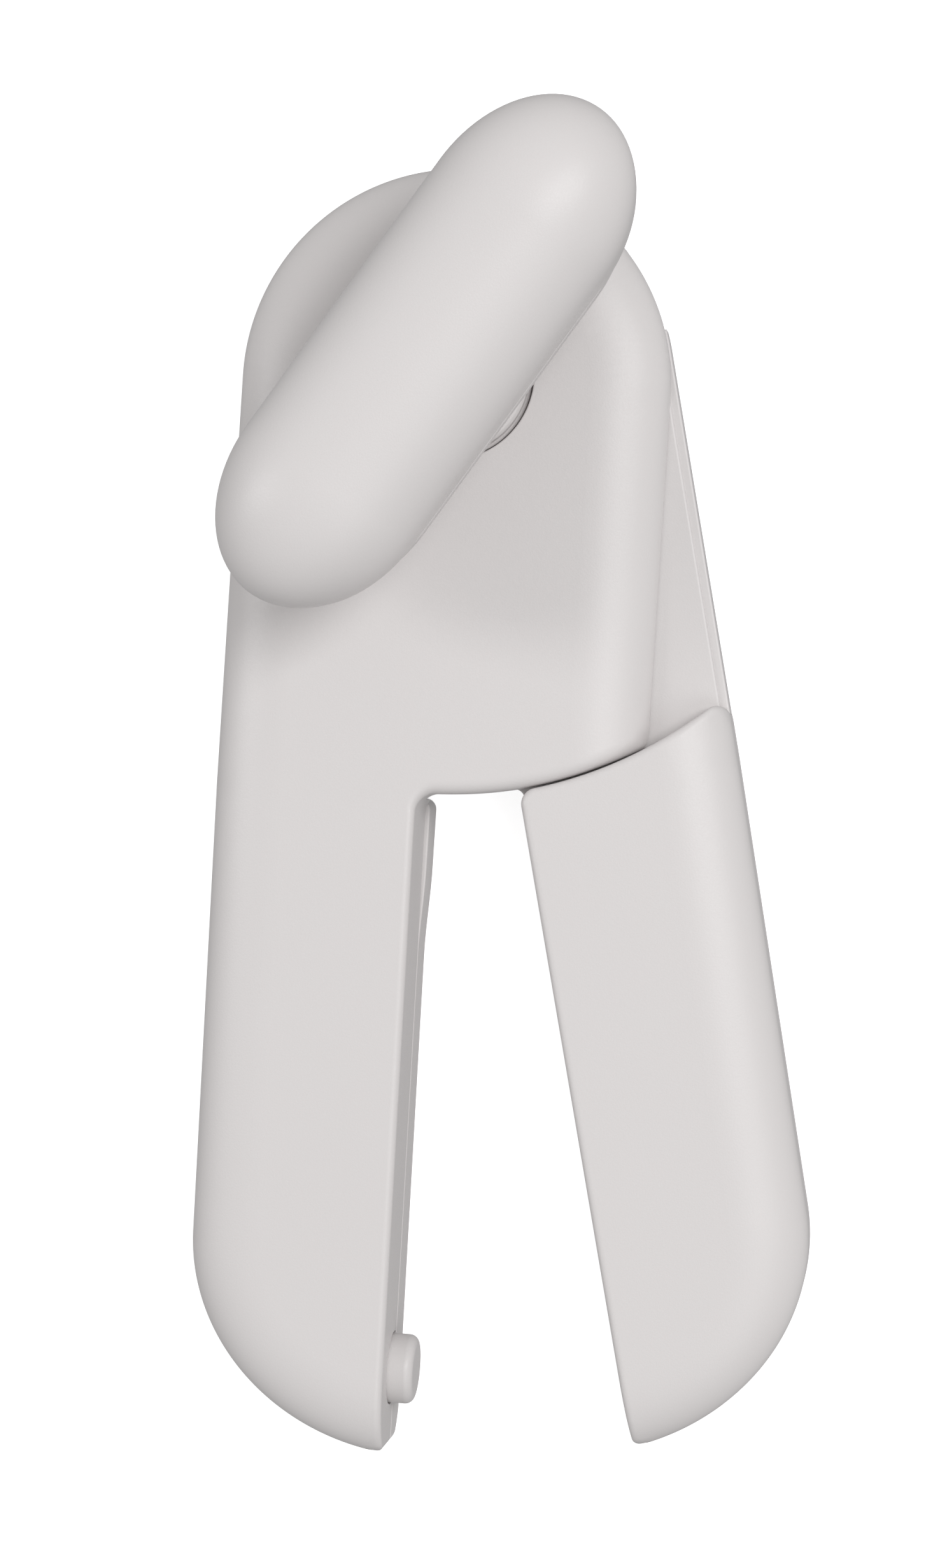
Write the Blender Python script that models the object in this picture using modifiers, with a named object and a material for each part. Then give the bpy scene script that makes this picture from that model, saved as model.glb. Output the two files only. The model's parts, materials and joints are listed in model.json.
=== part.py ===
"""Hand-turned can opener: two hinged grips, a long turning knob, a drive wheel and a sliding cutter.

Lengths are millimetres and are turned into metres when a mesh is made.  Every outline is drawn with the
hinge axis at x = 0, y = 0, the back of the grips at z = 0, +Y towards the head and +Z towards the knob.
The right handle is drawn closed, flush against the left grip, and is then swung open about the hinge.
"""

import math

import bmesh
import bpy
from mathutils import Matrix, Vector

MM = 0.001
MERGE = 0.00001
NAME = "can_opener"

# Overall sizes
HEAD_R = 31.2            # round head, and half the width of the closed tool
HEAD_DROP = 0.8          # the head's centre lies this far below the hinge
HEAD_EDGE_R = 59.8       # lower edge of the head cover, an arc about the hinge
GRIP_TOP_R = 60.1        # upper edge of the right grip, just outside that arc
GRIP_END_Y = -125.1      # centre of the round ends of the grips, which are parts of an ellipse
GRIP_END_R = 33.5        # its half width
GRIP_END_LENGTH = 30.4   # its half length
GRIP_TAPER = 0.7         # each grip's outer edge comes in by this much towards its end
LEFT_WALL_X = -1.1       # inner wall of the left grip, at the head
RIGHT_WALL_X = 0.1       # inner wall of the right grip, at its top, closed
WALL_LEAN = 0.7          # both inner walls lie this much further right at the grips' ends
FRONT_Z = 19.0
SPLIT_Z = 7.4            # where the front mouldings end
GAP = 0.3
WALL = 2.2
MARGIN = 6.5             # how far a cutting plan runs on outside the piece that it cuts
SHOULDER = (10.5, 6.5)   # width and height of the big soft edge around the front
BACK_SHOULDER = (6.0, 6.0)
TIP_R = 1.3              # corner between a grip's round end and its inner wall, from the front
WALL_BULGE = 0.6         # extra thickness at the top of the left grip's back, on its inner wall
HEAD_CORNER_R = 1.2      # lower right corner of the head cover, from the front
CROTCH_R = 2.8           # inside corner between the head and the left grip
OPEN_ANGLE = 13.0        # the handle's opening at rest, from closed
HANDLE_SWING = 30.0      # the whole swing, closed to wide open

# Layers inside the head
PLATE_TOP = 12.5         # recessed plate of the right handle
PLATE_BOTTOM = 9.6
COVER_RIM_Z = 12.8       # the cover stops here where the handle swings under it
DISC_R = 27.7            # the plate's round part, inside the head cover
STRIP_WIDTH = 1.2        # rim along the outer edge of the right handle
STRIP_DROP = 0.5         # and how far it lies below the plate
FRAME_TOP = 9.0
FRAME_BOTTOM = SPLIT_Z
CARRIAGE_TOP = 7.1
CARRIAGE_BOTTOM = 5.3
GUIDE_Y = 14.0           # rivet of the rim guide

# Hub, shaft and knob
HUB_HOLE_R = 12.1
HUB_R = 11.3
PIVOT_R = 12.0
SHAFT_R = 3.0
KNOB_ANGLE = 57.0        # the knob's long axis at rest, from +X
KNOB_END = 1.33          # length of its round ends against half its width
KNOB_LENGTH = 80.6
KNOB_WIDTH = 27.4
KNOB_TOP = 54.7
KNOB_WIDEST_Z = 43.7
KNOB_RIM_Z = 38.0
KNOB_BASE_Z = 31.6
BUSH_R = 4.1

# Cutter and its cam
DRIVE_WHEEL_R = 7.0
CUTTER_R = 8.0
CUTTER_TRAVEL = 4.0      # over the whole swing of the handle
CUTTER_CLOSED_Y = -13.2
FOLLOWER_CLOSED_R = 18.33
FOLLOWER_R = 1.5
CAM_HALF_WIDTH = 1.8
LIFT_PER_DEGREE = CUTTER_TRAVEL / HANDLE_SWING
CUTTER_Y = CUTTER_CLOSED_Y - LIFT_PER_DEGREE * OPEN_ANGLE
FOLLOWER_Y = -FOLLOWER_CLOSED_R - LIFT_PER_DEGREE * OPEN_ANGLE

# Catch stud
STUD_Y = -143.5
STUD_Z = 9.5
STUD_R = 5.0
STUD_TIP_X = 3.1
STUD_COLLAR_X = -3.0     # front of the collar that stops it behind the wall
STUD_CLEARANCE = 0.9     # between the stud and the hole that it enters in the right grip

# Screws, as (x, y); those of the right handle are where they lie when it is closed
LEFT_GRIP_SCREWS = {"upper": (-16.0, -78.0), "lower": (-16.0, -120.0)}
RIGHT_GRIP_SCREWS = {"upper": (15.5, -78.0), "lower": (15.5, -120.0)}
FRAME_SCREWS = {"upper": (-21.5, -27.5), "middle": (-22.0, -47.0), "lower": (-8.2, -46.0)}
POST_R = 3.2
SCREW_R = 1.3
SCREW_HEAD_R = 2.6
PILOT_TOP = 15.5         # the blind end of a screw's pilot hole


# ---------------------------------------------------------------- scene, bodies and materials

def clear_scene():
    for obj in list(bpy.data.objects):
        bpy.data.objects.remove(obj, do_unlink=True)
    for collection in list(bpy.data.collections):
        bpy.data.collections.remove(collection)


def new_collection(name):
    collection = bpy.data.collections.new(name)
    bpy.context.scene.collection.children.link(collection)
    return collection


def new_empty(name, parent=None, location=(0.0, 0.0, 0.0), turn=0.0):
    """A body's frame: an empty on its joint's axis, turned about +Z by so many degrees."""
    empty = bpy.data.objects.new(name, None)
    empty.empty_display_size = 0.01
    PARTS.objects.link(empty)
    empty.parent = parent
    empty.location = [value * MM for value in location]
    empty.rotation_euler.z = math.radians(turn)
    return empty


def new_material(name, colour, roughness, metallic=0.0):
    material = bpy.data.materials.new(name)
    material.use_nodes = True
    shader = material.node_tree.nodes["Principled BSDF"]
    shader.inputs["Base Color"].default_value = (*colour, 1.0)
    shader.inputs["Roughness"].default_value = roughness
    shader.inputs["Metallic"].default_value = metallic
    return material


FINISHES = {
    "white": ((0.68, 0.66, 0.65), 0.42, 0.0),
    "steel": ((0.60, 0.61, 0.62), 0.32, 1.0),
    "hard_steel": ((0.50, 0.51, 0.53), 0.24, 1.0),
    "zinc": ((0.66, 0.66, 0.64), 0.38, 1.0),
    "nylon": ((0.72, 0.70, 0.64), 0.55, 0.0),
}


def finish_part(obj, body, finish):
    """Puts a finished mesh object on its body with its own material and smooth round faces."""
    obj.data.materials.clear()
    obj.data.materials.append(new_material(obj.name + "_" + finish, *FINISHES[finish]))
    obj.parent = body
    obj.data.shade_smooth()
    obj.data.set_sharp_from_angle(angle=math.radians(35.0))
    return obj


def as_cutter(obj):
    obj.display_type = "WIRE"
    obj.hide_render = True
    for collection in list(obj.users_collection):
        collection.objects.unlink(obj)
    CUTTERS.objects.link(obj)
    return obj


def apply_modifiers(obj):
    """Replaces the object's mesh by its evaluated one and drops the modifiers."""
    bpy.context.view_layer.update()
    evaluated = obj.evaluated_get(bpy.context.evaluated_depsgraph_get())
    mesh = bpy.data.meshes.new_from_object(evaluated)
    obj.modifiers.clear()
    obj.data = mesh
    return obj


def combine(obj, operation, others):
    """Boolean with each of the others in turn; what is joined on is then removed, a cutter is kept."""
    for other in others:
        boolean = obj.modifiers.new(operation.lower(), "BOOLEAN")
        boolean.operation = operation
        boolean.solver = "EXACT"
        boolean.object = other
    apply_modifiers(obj)
    for other in others:
        if operation == "UNION":
            bpy.data.objects.remove(other, do_unlink=True)
        else:
            as_cutter(other)
    return obj


# ---------------------------------------------------------------- outlines

def arc(centre, radius, start, end, steps):
    """Points along an arc, in degrees, both ends included."""
    points = []
    for index in range(steps + 1):
        angle = math.radians(start + (end - start) * index / steps)
        points.append((centre[0] + radius * math.cos(angle), centre[1] + radius * math.sin(angle)))
    return points


def circle(centre, radius, steps=32):
    return arc(centre, radius, 0.0, 360.0, steps)[:-1]


def below(distance, x):
    """The point below the hinge at this distance from it and this x."""
    return (x, -math.sqrt(distance * distance - x * x))


def polar(point):
    return math.degrees(math.atan2(point[1], point[0]))


def tool_outline(side):
    """Outside of the closed tool with the round end of one grip; side is -1 for left, +1 for right."""
    centre = (side * (HEAD_R - GRIP_TAPER - GRIP_END_R), GRIP_END_Y)
    straight_y = -60.0
    run = arc((0.0, -HEAD_DROP), HEAD_R, 0.0, 180.0, 28) + [(-HEAD_R, straight_y)]
    for x, y in arc(centre, GRIP_END_R, 180.0, 360.0, 32):
        run.append((x, GRIP_END_Y + (y - GRIP_END_Y) * GRIP_END_LENGTH / GRIP_END_R))
    return run + [(HEAD_R, straight_y)]


def tip_plan(wall_x, inset):
    """Plan points from outside the left grip's end, round its tip and onto its inner wall."""
    centre_x = GRIP_END_R + GRIP_TAPER - HEAD_R
    reach = inset + TIP_R
    across = wall_x - TIP_R - centre_x
    edge = Vector((across / GRIP_END_R, -1.0))
    for _ in range(8):
        outward = Vector((edge.x / GRIP_END_R, edge.y / GRIP_END_LENGTH)).normalized()
        edge.x = (across + reach * outward.x) / GRIP_END_R
        edge.y = -math.sqrt(1.0 - edge.x * edge.x)
    tip_y = GRIP_END_Y + GRIP_END_LENGTH * edge.y - reach * outward.y
    tip = (wall_x - TIP_R, tip_y)
    start = (tip[0] + outward.x * (reach + MARGIN), tip[1] + outward.y * (reach + MARGIN))
    return [start] + arc(tip, TIP_R, polar(outward), 0.0, 6)


def cover_plan(inset=0.0):
    """Plan that cuts the head's lower edge and the left grip's inner wall, drawn in by inset."""
    crotch = below(HEAD_EDGE_R + CROTCH_R, LEFT_WALL_X + CROTCH_R)
    edge_r = HEAD_EDGE_R - inset
    corner = below(edge_r - HEAD_CORNER_R, HEAD_R - inset - HEAD_CORNER_R)
    far_x, far_top, far_low = HEAD_R + MARGIN, HEAD_R + MARGIN, GRIP_END_Y - GRIP_END_LENGTH - MARGIN
    run = tip_plan(LEFT_WALL_X + WALL_LEAN - inset, inset)
    run += arc(crotch, CROTCH_R + inset, 180.0, 180.0 + polar(crotch), 6)
    run += arc((0.0, 0.0), edge_r, polar(crotch), polar(corner), 14)[1:]
    run += arc(corner, HEAD_CORNER_R, polar(corner), 0.0, 4)[1:]
    return run + [(far_x, corner[1] + 0.5), (far_x, far_top), (-far_x, far_top), (-far_x, far_low)]


def grip_plan(side, wall_x, top_r, corner_r, outer_corner_r, inset=0.0, bulge=0.0):
    """Plan that cuts a grip to length, with an arc about the hinge and two rounded corners at its top.

    It is drawn for the left grip and mirrored for the right one, and bulge thickens the wall's upper part.
    """
    wall_x = -side * wall_x - inset
    top_r += inset
    inner = below(top_r + corner_r, wall_x + bulge - corner_r)
    outer = below(top_r + outer_corner_r, outer_corner_r + inset - HEAD_R)
    far_x, far_low = HEAD_R + MARGIN, GRIP_END_Y - GRIP_END_LENGTH - MARGIN
    run = tip_plan(wall_x - side * WALL_LEAN, inset)
    if bulge:
        foot_x = wall_x - side * WALL_LEAN * 0.25
        run += [(foot_x, -84.0), ((foot_x + wall_x + bulge) / 2.0, -77.0), (wall_x + bulge, -70.0)]
    run += arc(inner, corner_r, 0.0, 180.0 + polar(inner), 5)
    run += arc((0.0, 0.0), top_r, polar(inner), polar(outer), 12)[1:-1]
    run += arc(outer, outer_corner_r, 180.0 + polar(outer), 180.0, 5)
    run += [(-far_x, outer[1] - 0.5), (-far_x, far_low)]
    return run if side < 0 else [(-x, y) for x, y in reversed(run)]


def offset_points(outline, distance):
    """Draws a counter-clockwise outline in by a distance."""
    moved = []
    count = len(outline)
    for index, point in enumerate(outline):
        before, after = outline[index - 1], outline[(index + 1) % count]
        first = Vector((point[0] - before[0], point[1] - before[1])).normalized()
        second = Vector((after[0] - point[0], after[1] - point[1])).normalized()
        inward = Vector((-first.y - second.y, first.x + second.x)).normalized()
        stretch = max(inward.dot(Vector((-first.y, first.x))), 0.5)
        shift = inward * (distance / stretch)
        moved.append((point[0] + shift.x, point[1] + shift.y))
    return moved


# ---------------------------------------------------------------- solids

def mesh_object(name, mesh):
    obj = bpy.data.objects.new(name, mesh)
    PARTS.objects.link(obj)
    return obj


def loft(name, rings):
    """A closed body from rings of equally many points, capped at both ends."""
    bm = bmesh.new()
    loops = [[bm.verts.new([value * MM for value in point]) for point in ring] for ring in rings]
    for lower, upper in zip(loops, loops[1:]):
        for index in range(len(lower)):
            after = (index + 1) % len(lower)
            bm.faces.new((lower[index], lower[after], upper[after], upper[index]))
    bm.faces.new(loops[0][::-1])
    bm.faces.new(loops[-1])
    bmesh.ops.recalc_face_normals(bm, faces=bm.faces)
    mesh = bpy.data.meshes.new(name)
    bm.to_mesh(mesh)
    bm.free()
    return mesh_object(name, mesh)


def soft_edged_solid(name, outline, edge, face_z, foot_z, inset=0.0, steps=6):
    """A solid with a quarter ellipse of this width and height around face_z, drawn in by inset."""
    up = 1.0 if face_z > foot_z else -1.0
    width, height = edge[0] - inset, edge[1] - inset
    rings = [[(x, y, foot_z) for x, y in offset_points(outline, inset)]]
    for step in range(steps + 1):
        angle = math.pi / 2.0 * step / steps
        plan = offset_points(outline, inset + width * (1.0 - math.cos(angle)))
        level = face_z - up * height * (1.0 - math.sin(angle))
        rings.append([(x, y, level) for x, y in plan])
    return loft(name, rings)


def plan_cut(obj, plan, low, high):
    """Keeps what lies inside a plan shape."""
    return combine(obj, "INTERSECT", [flat_piece(obj.name + "_plan", [plan], low, high)])


def flat_piece(name, loops, bottom, top):
    """A flat outline with holes, as a 2D curve given its thickness and then made a mesh."""
    curve = bpy.data.curves.new(name + "_outline", "CURVE")
    curve.dimensions = "2D"
    curve.fill_mode = "BOTH"
    curve.extrude = (top - bottom) / 2.0 * MM
    for loop in loops:
        spline = curve.splines.new("POLY")
        spline.points.add(len(loop) - 1)
        spline.use_cyclic_u = True
        for point, (x, y) in zip(spline.points, loop):
            point.co = (x * MM, y * MM, 0.0, 1.0)
    outline = bpy.data.objects.new(name + "_outline", curve)
    PARTS.objects.link(outline)
    bpy.context.view_layer.update()
    mesh = bpy.data.meshes.new_from_object(outline.evaluated_get(bpy.context.evaluated_depsgraph_get()))
    bpy.data.objects.remove(outline, do_unlink=True)
    mesh.transform(Matrix.Translation((0.0, 0.0, (top + bottom) / 2.0 * MM)))
    bm = bmesh.new()
    bm.from_mesh(mesh)
    bmesh.ops.remove_doubles(bm, verts=bm.verts, dist=MERGE)
    bmesh.ops.recalc_face_normals(bm, faces=bm.faces)
    bm.to_mesh(mesh)
    bm.free()
    return mesh_object(name, mesh)


def turned(name, profile, steps=32, closed=False):
    """A turned piece about Z: a profile of (radius, z) run down the outside, with a Screw modifier.

    closed joins the last point to the first, for a piece with a bore.
    """
    bm = bmesh.new()
    verts = [bm.verts.new((radius * MM, 0.0, z * MM)) for radius, z in profile]
    for first, second in zip(verts, verts[1:]):
        bm.edges.new((first, second))
    if closed:
        bm.edges.new((verts[-1], verts[0]))
    mesh = bpy.data.meshes.new(name)
    bm.to_mesh(mesh)
    bm.free()
    obj = mesh_object(name, mesh)
    screw = obj.modifiers.new("turn", "SCREW")
    screw.axis = "Z"
    screw.steps = steps
    screw.render_steps = steps
    screw.use_merge_vertices = True
    screw.merge_threshold = MERGE
    apply_modifiers(obj)
    return obj


def tube(name, inner, outer, bottom, top, steps=32):
    profile = [(outer, top), (outer, bottom), (inner, bottom), (inner, top)]
    return turned(name, profile, steps, closed=True)


def rod(name, radius, bottom, top, steps=32):
    return turned(name, [(0.0, top), (radius, top), (radius, bottom), (0.0, bottom)], steps)


def block(name, low, high):
    bm = bmesh.new()
    bmesh.ops.create_cube(bm, size=1.0)
    size = Vector(high) - Vector(low)
    middle = (Vector(high) + Vector(low)) / 2.0
    for vert in bm.verts:
        vert.co = Vector((vert.co.x * size.x, vert.co.y * size.y, vert.co.z * size.z)) + middle
        vert.co *= MM
    mesh = bpy.data.meshes.new(name)
    bm.to_mesh(mesh)
    bm.free()
    return mesh_object(name, mesh)


def shift(obj, x, y, z=0.0):
    obj.data.transform(Matrix.Translation((x * MM, y * MM, z * MM)))
    return obj


def lay_along_x(obj):
    """Turns a piece made about +Z so that it points along +X."""
    obj.data.transform(Matrix.Rotation(math.radians(90.0), 4, "Y"))
    return obj


# ---------------------------------------------------------------- casings

def screw_post(name, place, bottom):
    """A post under the front wall with a blind pilot hole for a screw."""
    roof = FRONT_Z - WALL / 2.0
    pilot = SCREW_R + 0.2
    profile = [(0.0, roof), (POST_R, roof), (POST_R, bottom), (pilot, bottom), (pilot, PILOT_TOP)]
    profile.append((0.0, PILOT_TOP))
    return shift(turned(name, profile, 20), *place)


def stud_bore(radius, low_x, high_x):
    bore = lay_along_x(rod("stud_bore", radius, low_x, high_x, 28))
    return shift(bore, 0.0, STUD_Y, STUD_Z)


def build_main_cover():
    """Head and front of the left grip in one moulding."""
    low, high = SPLIT_Z - 2.0, FRONT_Z + 2.0
    cover = soft_edged_solid("main_cover", tool_outline(-1), SHOULDER, FRONT_Z, SPLIT_Z)
    plan_cut(cover, cover_plan(), low, high)
    roof, foot = FRONT_Z - WALL, SPLIT_Z - 1.0
    cavity = soft_edged_solid("cover_cavity", tool_outline(-1), SHOULDER, roof, foot, WALL)
    plan_cut(cavity, cover_plan(WALL), low, high)
    inner_x, low_y = LEFT_WALL_X - CROTCH_R - 0.1, -HEAD_EDGE_R - 0.9
    swing = [(0.0, 0.0), (45.0, 37.0), (70.0, 0.0), (50.0, low_y), (inner_x, low_y), (inner_x, -50.0)]
    clearance = flat_piece("swing_clearance", [swing], low, COVER_RIM_Z)
    hub_hole = rod("hub_hole", HUB_HOLE_R, FRONT_Z - WALL - 2.0, high, 40)
    bore = stud_bore(STUD_R + GAP, LEFT_WALL_X - WALL - 1.0, LEFT_WALL_X + 2.0)
    combine(cover, "DIFFERENCE", [cavity, clearance, hub_hole, bore])
    posts = [screw_post("grip_post", place, SPLIT_Z + 0.2) for place in LEFT_GRIP_SCREWS.values()]
    posts += [screw_post("frame_post", place, FRAME_TOP + GAP) for place in FRAME_SCREWS.values()]
    combine(cover, "UNION", posts)
    finish_part(cover, BODIES["body"], "white")


def back_shell(name, side, wall_x, top_r, corners, screws, bulge=0.0):
    """The back of a grip: a tray with counterbored posts for its screws."""
    top = SPLIT_Z - GAP
    shelf = 3.2
    outline = tool_outline(side)
    shell = soft_edged_solid(name, outline, BACK_SHOULDER, 0.0, top)
    plan_cut(shell, grip_plan(side, wall_x, top_r, *corners, bulge=bulge), -2.0, top + 2.0)
    cavity = soft_edged_solid(name + "_cavity", outline, BACK_SHOULDER, WALL, top + 1.0, WALL)
    plan_cut(cavity, grip_plan(side, wall_x, top_r, 0.8, 1.0, WALL, bulge), -2.0, top + 2.0)
    combine(shell, "DIFFERENCE", [cavity])
    posts = [shift(rod("post", POST_R + 0.8, WALL / 2.0, top, 20), *place) for place in screws.values()]
    combine(shell, "UNION", posts)
    holes = []
    for place in screws.values():
        profile = [(0.0, top + 1.0), (SCREW_R + GAP, top + 1.0), (SCREW_R + GAP, shelf)]
        profile += [(SCREW_HEAD_R + GAP, shelf), (SCREW_HEAD_R + GAP, -1.0), (0.0, -1.0)]
        holes.append(shift(turned("screw_hole", profile, 20), *place))
    combine(shell, "DIFFERENCE", holes)
    return shell


def build_left_grip_back():
    corners = (1.6, 3.0)
    shell = back_shell(
        "left_grip_back", -1, LEFT_WALL_X, GRIP_TOP_R + 0.6, corners, LEFT_GRIP_SCREWS, WALL_BULGE
    )
    seat = block("spring_seat", (-14.9, STUD_Y - 3.0, WALL / 2.0), (-12.6, STUD_Y + 4.0, STUD_Z + 3.0))
    combine(shell, "UNION", [seat])
    bore = stud_bore(STUD_R + GAP, LEFT_WALL_X - WALL - 1.0, LEFT_WALL_X + 2.0)
    combine(shell, "DIFFERENCE", [bore])
    finish_part(shell, BODIES["body"], "white")


def build_right_grip_back():
    corners = (2.0, 1.6)
    shell = back_shell("right_grip_back", 1, RIGHT_WALL_X, GRIP_TOP_R + 0.2, corners, RIGHT_GRIP_SCREWS)
    bore = stud_bore(STUD_R + STUD_CLEARANCE, RIGHT_WALL_X - 1.0, RIGHT_WALL_X + WALL + 2.0)
    combine(shell, "DIFFERENCE", [bore])
    finish_part(shell, BODIES["handle"], "white")


def cam_slot():
    """A slot whose distance from the hinge grows evenly with the handle's swing."""
    margin = 1.0
    steps = 12
    outer, inner = [], []
    for index in range(steps + 1):
        swing = -margin + (HANDLE_SWING + 2.0 * margin) * index / steps
        angle = math.radians(-90.0 - swing)
        lift = FOLLOWER_CLOSED_R + LIFT_PER_DEGREE * swing
        for side, radius in ((outer, lift + CAM_HALF_WIDTH), (inner, lift - CAM_HALF_WIDTH)):
            side.append((radius * math.cos(angle), radius * math.sin(angle)))
    ends = []
    for swing, facing in ((HANDLE_SWING + margin, -1.0), (-margin, 1.0)):
        angle = -90.0 - swing
        lift = FOLLOWER_CLOSED_R + LIFT_PER_DEGREE * swing
        centre = (lift * math.cos(math.radians(angle)), lift * math.sin(math.radians(angle)))
        start = angle if facing < 0.0 else angle + 180.0
        ends.append(arc(centre, CAM_HALF_WIDTH, start, start - 180.0, 6)[1:-1])
    return outer + ends[0] + inner[::-1] + ends[1]


def handle_plate_outline():
    """The recessed plate: a disc on the pivot, a web down to the grip and the strip at its outer edge."""
    flare_r = 1.6
    edge_r = HEAD_EDGE_R - 0.2
    grip_r = GRIP_TOP_R + 1.4
    flare = below(edge_r + flare_r, RIGHT_WALL_X - flare_r)
    ridge_x = HEAD_R - STRIP_WIDTH
    run = [below(grip_r, RIGHT_WALL_X), below(grip_r, 16.0), below(grip_r, ridge_x), (ridge_x, 1.0)]
    run += arc((0.0, 0.0), DISC_R, 5.0, 255.0, 40)
    hook_x = RIGHT_WALL_X - 3.3
    run += [(RIGHT_WALL_X - 2.6, -31.0), (RIGHT_WALL_X, -36.0), (RIGHT_WALL_X, -53.0), (hook_x, -56.0)]
    run += [below(edge_r, hook_x)]
    run += arc(flare, flare_r, polar((-flare[0], -flare[1])), 0.0, 4)
    return run


def build_right_handle_front():
    """Front of the right grip with the plate that turns about the hinge under the head cover."""
    low, high = SPLIT_Z - 2.0, FRONT_Z + 2.0
    outline = tool_outline(1)
    handle = soft_edged_solid("right_handle_front", outline, SHOULDER, FRONT_Z, SPLIT_Z)
    plan_cut(handle, grip_plan(1, RIGHT_WALL_X, GRIP_TOP_R, 2.3, 1.8), low, high)
    cavity = soft_edged_solid("grip_cavity", outline, SHOULDER, FRONT_Z - WALL, SPLIT_Z - 1.0, WALL)
    plan_cut(cavity, grip_plan(1, RIGHT_WALL_X, GRIP_TOP_R, 0.8, 1.0, WALL), low, high)
    combine(handle, "DIFFERENCE", [cavity])
    plate_loops = [handle_plate_outline(), circle((0.0, 0.0), PIVOT_R + GAP, 40), cam_slot()]
    plate = flat_piece("handle_plate", plate_loops, PLATE_BOTTOM, PLATE_TOP)
    inner_x = HEAD_R - STRIP_WIDTH - 0.5
    strip = [(inner_x, -54.0), (HEAD_R, -54.0)]
    strip += arc((0.0, -HEAD_DROP), HEAD_R, 0.0, 5.0, 2) + [(inner_x, 1.5)]
    rim = flat_piece("handle_rim", [strip], SPLIT_Z, PLATE_TOP - STRIP_DROP)
    posts = [screw_post("grip_post", place, SPLIT_Z + 0.2) for place in RIGHT_GRIP_SCREWS.values()]
    combine(handle, "UNION", [plate, rim] + posts)
    bore = stud_bore(STUD_R + STUD_CLEARANCE, RIGHT_WALL_X - 1.0, RIGHT_WALL_X + WALL + 2.0)
    combine(handle, "DIFFERENCE", [bore])
    finish_part(handle, BODIES["handle"], "white")


# ---------------------------------------------------------------- frame and pivot

def build_frame_plate():
    """Steel plate across the back of the head, with the guide slot of the cutter carriage."""
    edge = HEAD_R - WALL - GAP - 0.1
    lower_r = 57.2
    outline = arc((0.0, -HEAD_DROP), edge, 0.0, 180.0, 28)
    outline += arc((0.0, 0.0), lower_r, polar(below(lower_r, -edge)), polar(below(lower_r, edge)), 12)
    slot_far = FOLLOWER_CLOSED_R + CUTTER_TRAVEL
    slot = arc((0.0, -FOLLOWER_CLOSED_R + 0.2), CAM_HALF_WIDTH, 0.0, 180.0, 8)
    slot += arc((0.0, -slot_far - 0.2), CAM_HALF_WIDTH, 180.0, 360.0, 8)
    holes = [circle(place, SCREW_R + GAP, 16) for place in FRAME_SCREWS.values()]
    loops = [outline, circle((0.0, 0.0), 6.2), slot, circle((0.0, GUIDE_Y), 1.7, 16)] + holes
    finish_part(flat_piece("frame_plate", loops, FRAME_BOTTOM, FRAME_TOP), BODIES["body"], "steel")


def build_pivot():
    """Boss that the handle turns on, the ring that keeps it there and the bush of the shaft."""
    bore = BUSH_R + 0.2
    neck_r, spigot_r = 10.4, 5.9
    profile = [(neck_r, 14.0), (neck_r, 12.7), (PIVOT_R, 12.7), (PIVOT_R, FRAME_TOP + GAP)]
    profile += [(spigot_r, FRAME_TOP + GAP), (spigot_r, FRAME_BOTTOM), (bore, FRAME_BOTTOM), (bore, 14.0)]
    finish_part(turned("pivot_boss", profile, 40, closed=True), BODIES["body"], "zinc")
    ring = arc((0.0, 0.0), 14.4, 25.0, 335.0, 32) + arc((0.0, 0.0), neck_r + GAP, 335.0, 25.0, 32)
    finish_part(flat_piece("retaining_ring", [ring], 12.9, 13.7), BODIES["body"], "hard_steel")
    profile = [(6.2, 14.9), (6.2, 14.3), (BUSH_R, 14.3), (BUSH_R, FRAME_BOTTOM + 0.1)]
    profile += [(SHAFT_R + 0.1, FRAME_BOTTOM + 0.1), (SHAFT_R + 0.1, 14.9)]
    finish_part(turned("shaft_bush", profile, 32, closed=True), BODIES["body"], "nylon")


def build_rim_guide():
    """Bent steel tab beyond the drive wheel that keeps the can's rim square, and its rivet."""
    bottom = CARRIAGE_TOP - 1.5
    section = [(9.4, 2.4), (10.9, 2.4), (10.9, bottom), (17.5, bottom)]
    section += [(17.5, CARRIAGE_TOP), (9.4, CARRIAGE_TOP)]
    guide = flat_piece("rim_guide", [section], -4.5, 4.5)
    guide.data.transform(Matrix(((0, 0, 1, 0), (1, 0, 0, 0), (0, 1, 0, 0), (0, 0, 0, 1))))
    hole = shift(rod("rivet_hole", 1.7, 4.0, 9.0, 16), 0.0, GUIDE_Y)
    combine(guide, "DIFFERENCE", [hole])
    finish_part(guide, BODIES["body"], "steel")
    profile = [(0.0, FRAME_TOP), (1.5, FRAME_TOP), (1.5, bottom - GAP), (2.7, bottom - GAP)]
    profile += [(2.2, bottom - 1.3), (0.0, bottom - 1.3)]
    finish_part(shift(turned("guide_rivet", profile, 20), 0.0, GUIDE_Y), BODIES["body"], "steel")


def build_rails():
    """Two rails under the frame plate that hold the cutter carriage to a straight path."""
    lip_bottom = CARRIAGE_BOTTOM - 1.4
    for side, name in ((-1.0, "left"), (1.0, "right")):
        section = [(5.9, lip_bottom), (9.6, lip_bottom), (9.6, CARRIAGE_TOP), (7.3, CARRIAGE_TOP)]
        section += [(7.3, CARRIAGE_BOTTOM - GAP), (5.9, CARRIAGE_BOTTOM - GAP)]
        section = [(side * x, z) for x, z in section]
        rail = flat_piece("guide_rail_" + name, [section], 10.0, 28.0)
        rail.data.transform(Matrix(((1, 0, 0, 0), (0, 0, -1, 0), (0, 1, 0, 0), (0, 0, 0, 1))))
        finish_part(rail, BODIES["body"], "steel")


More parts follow.
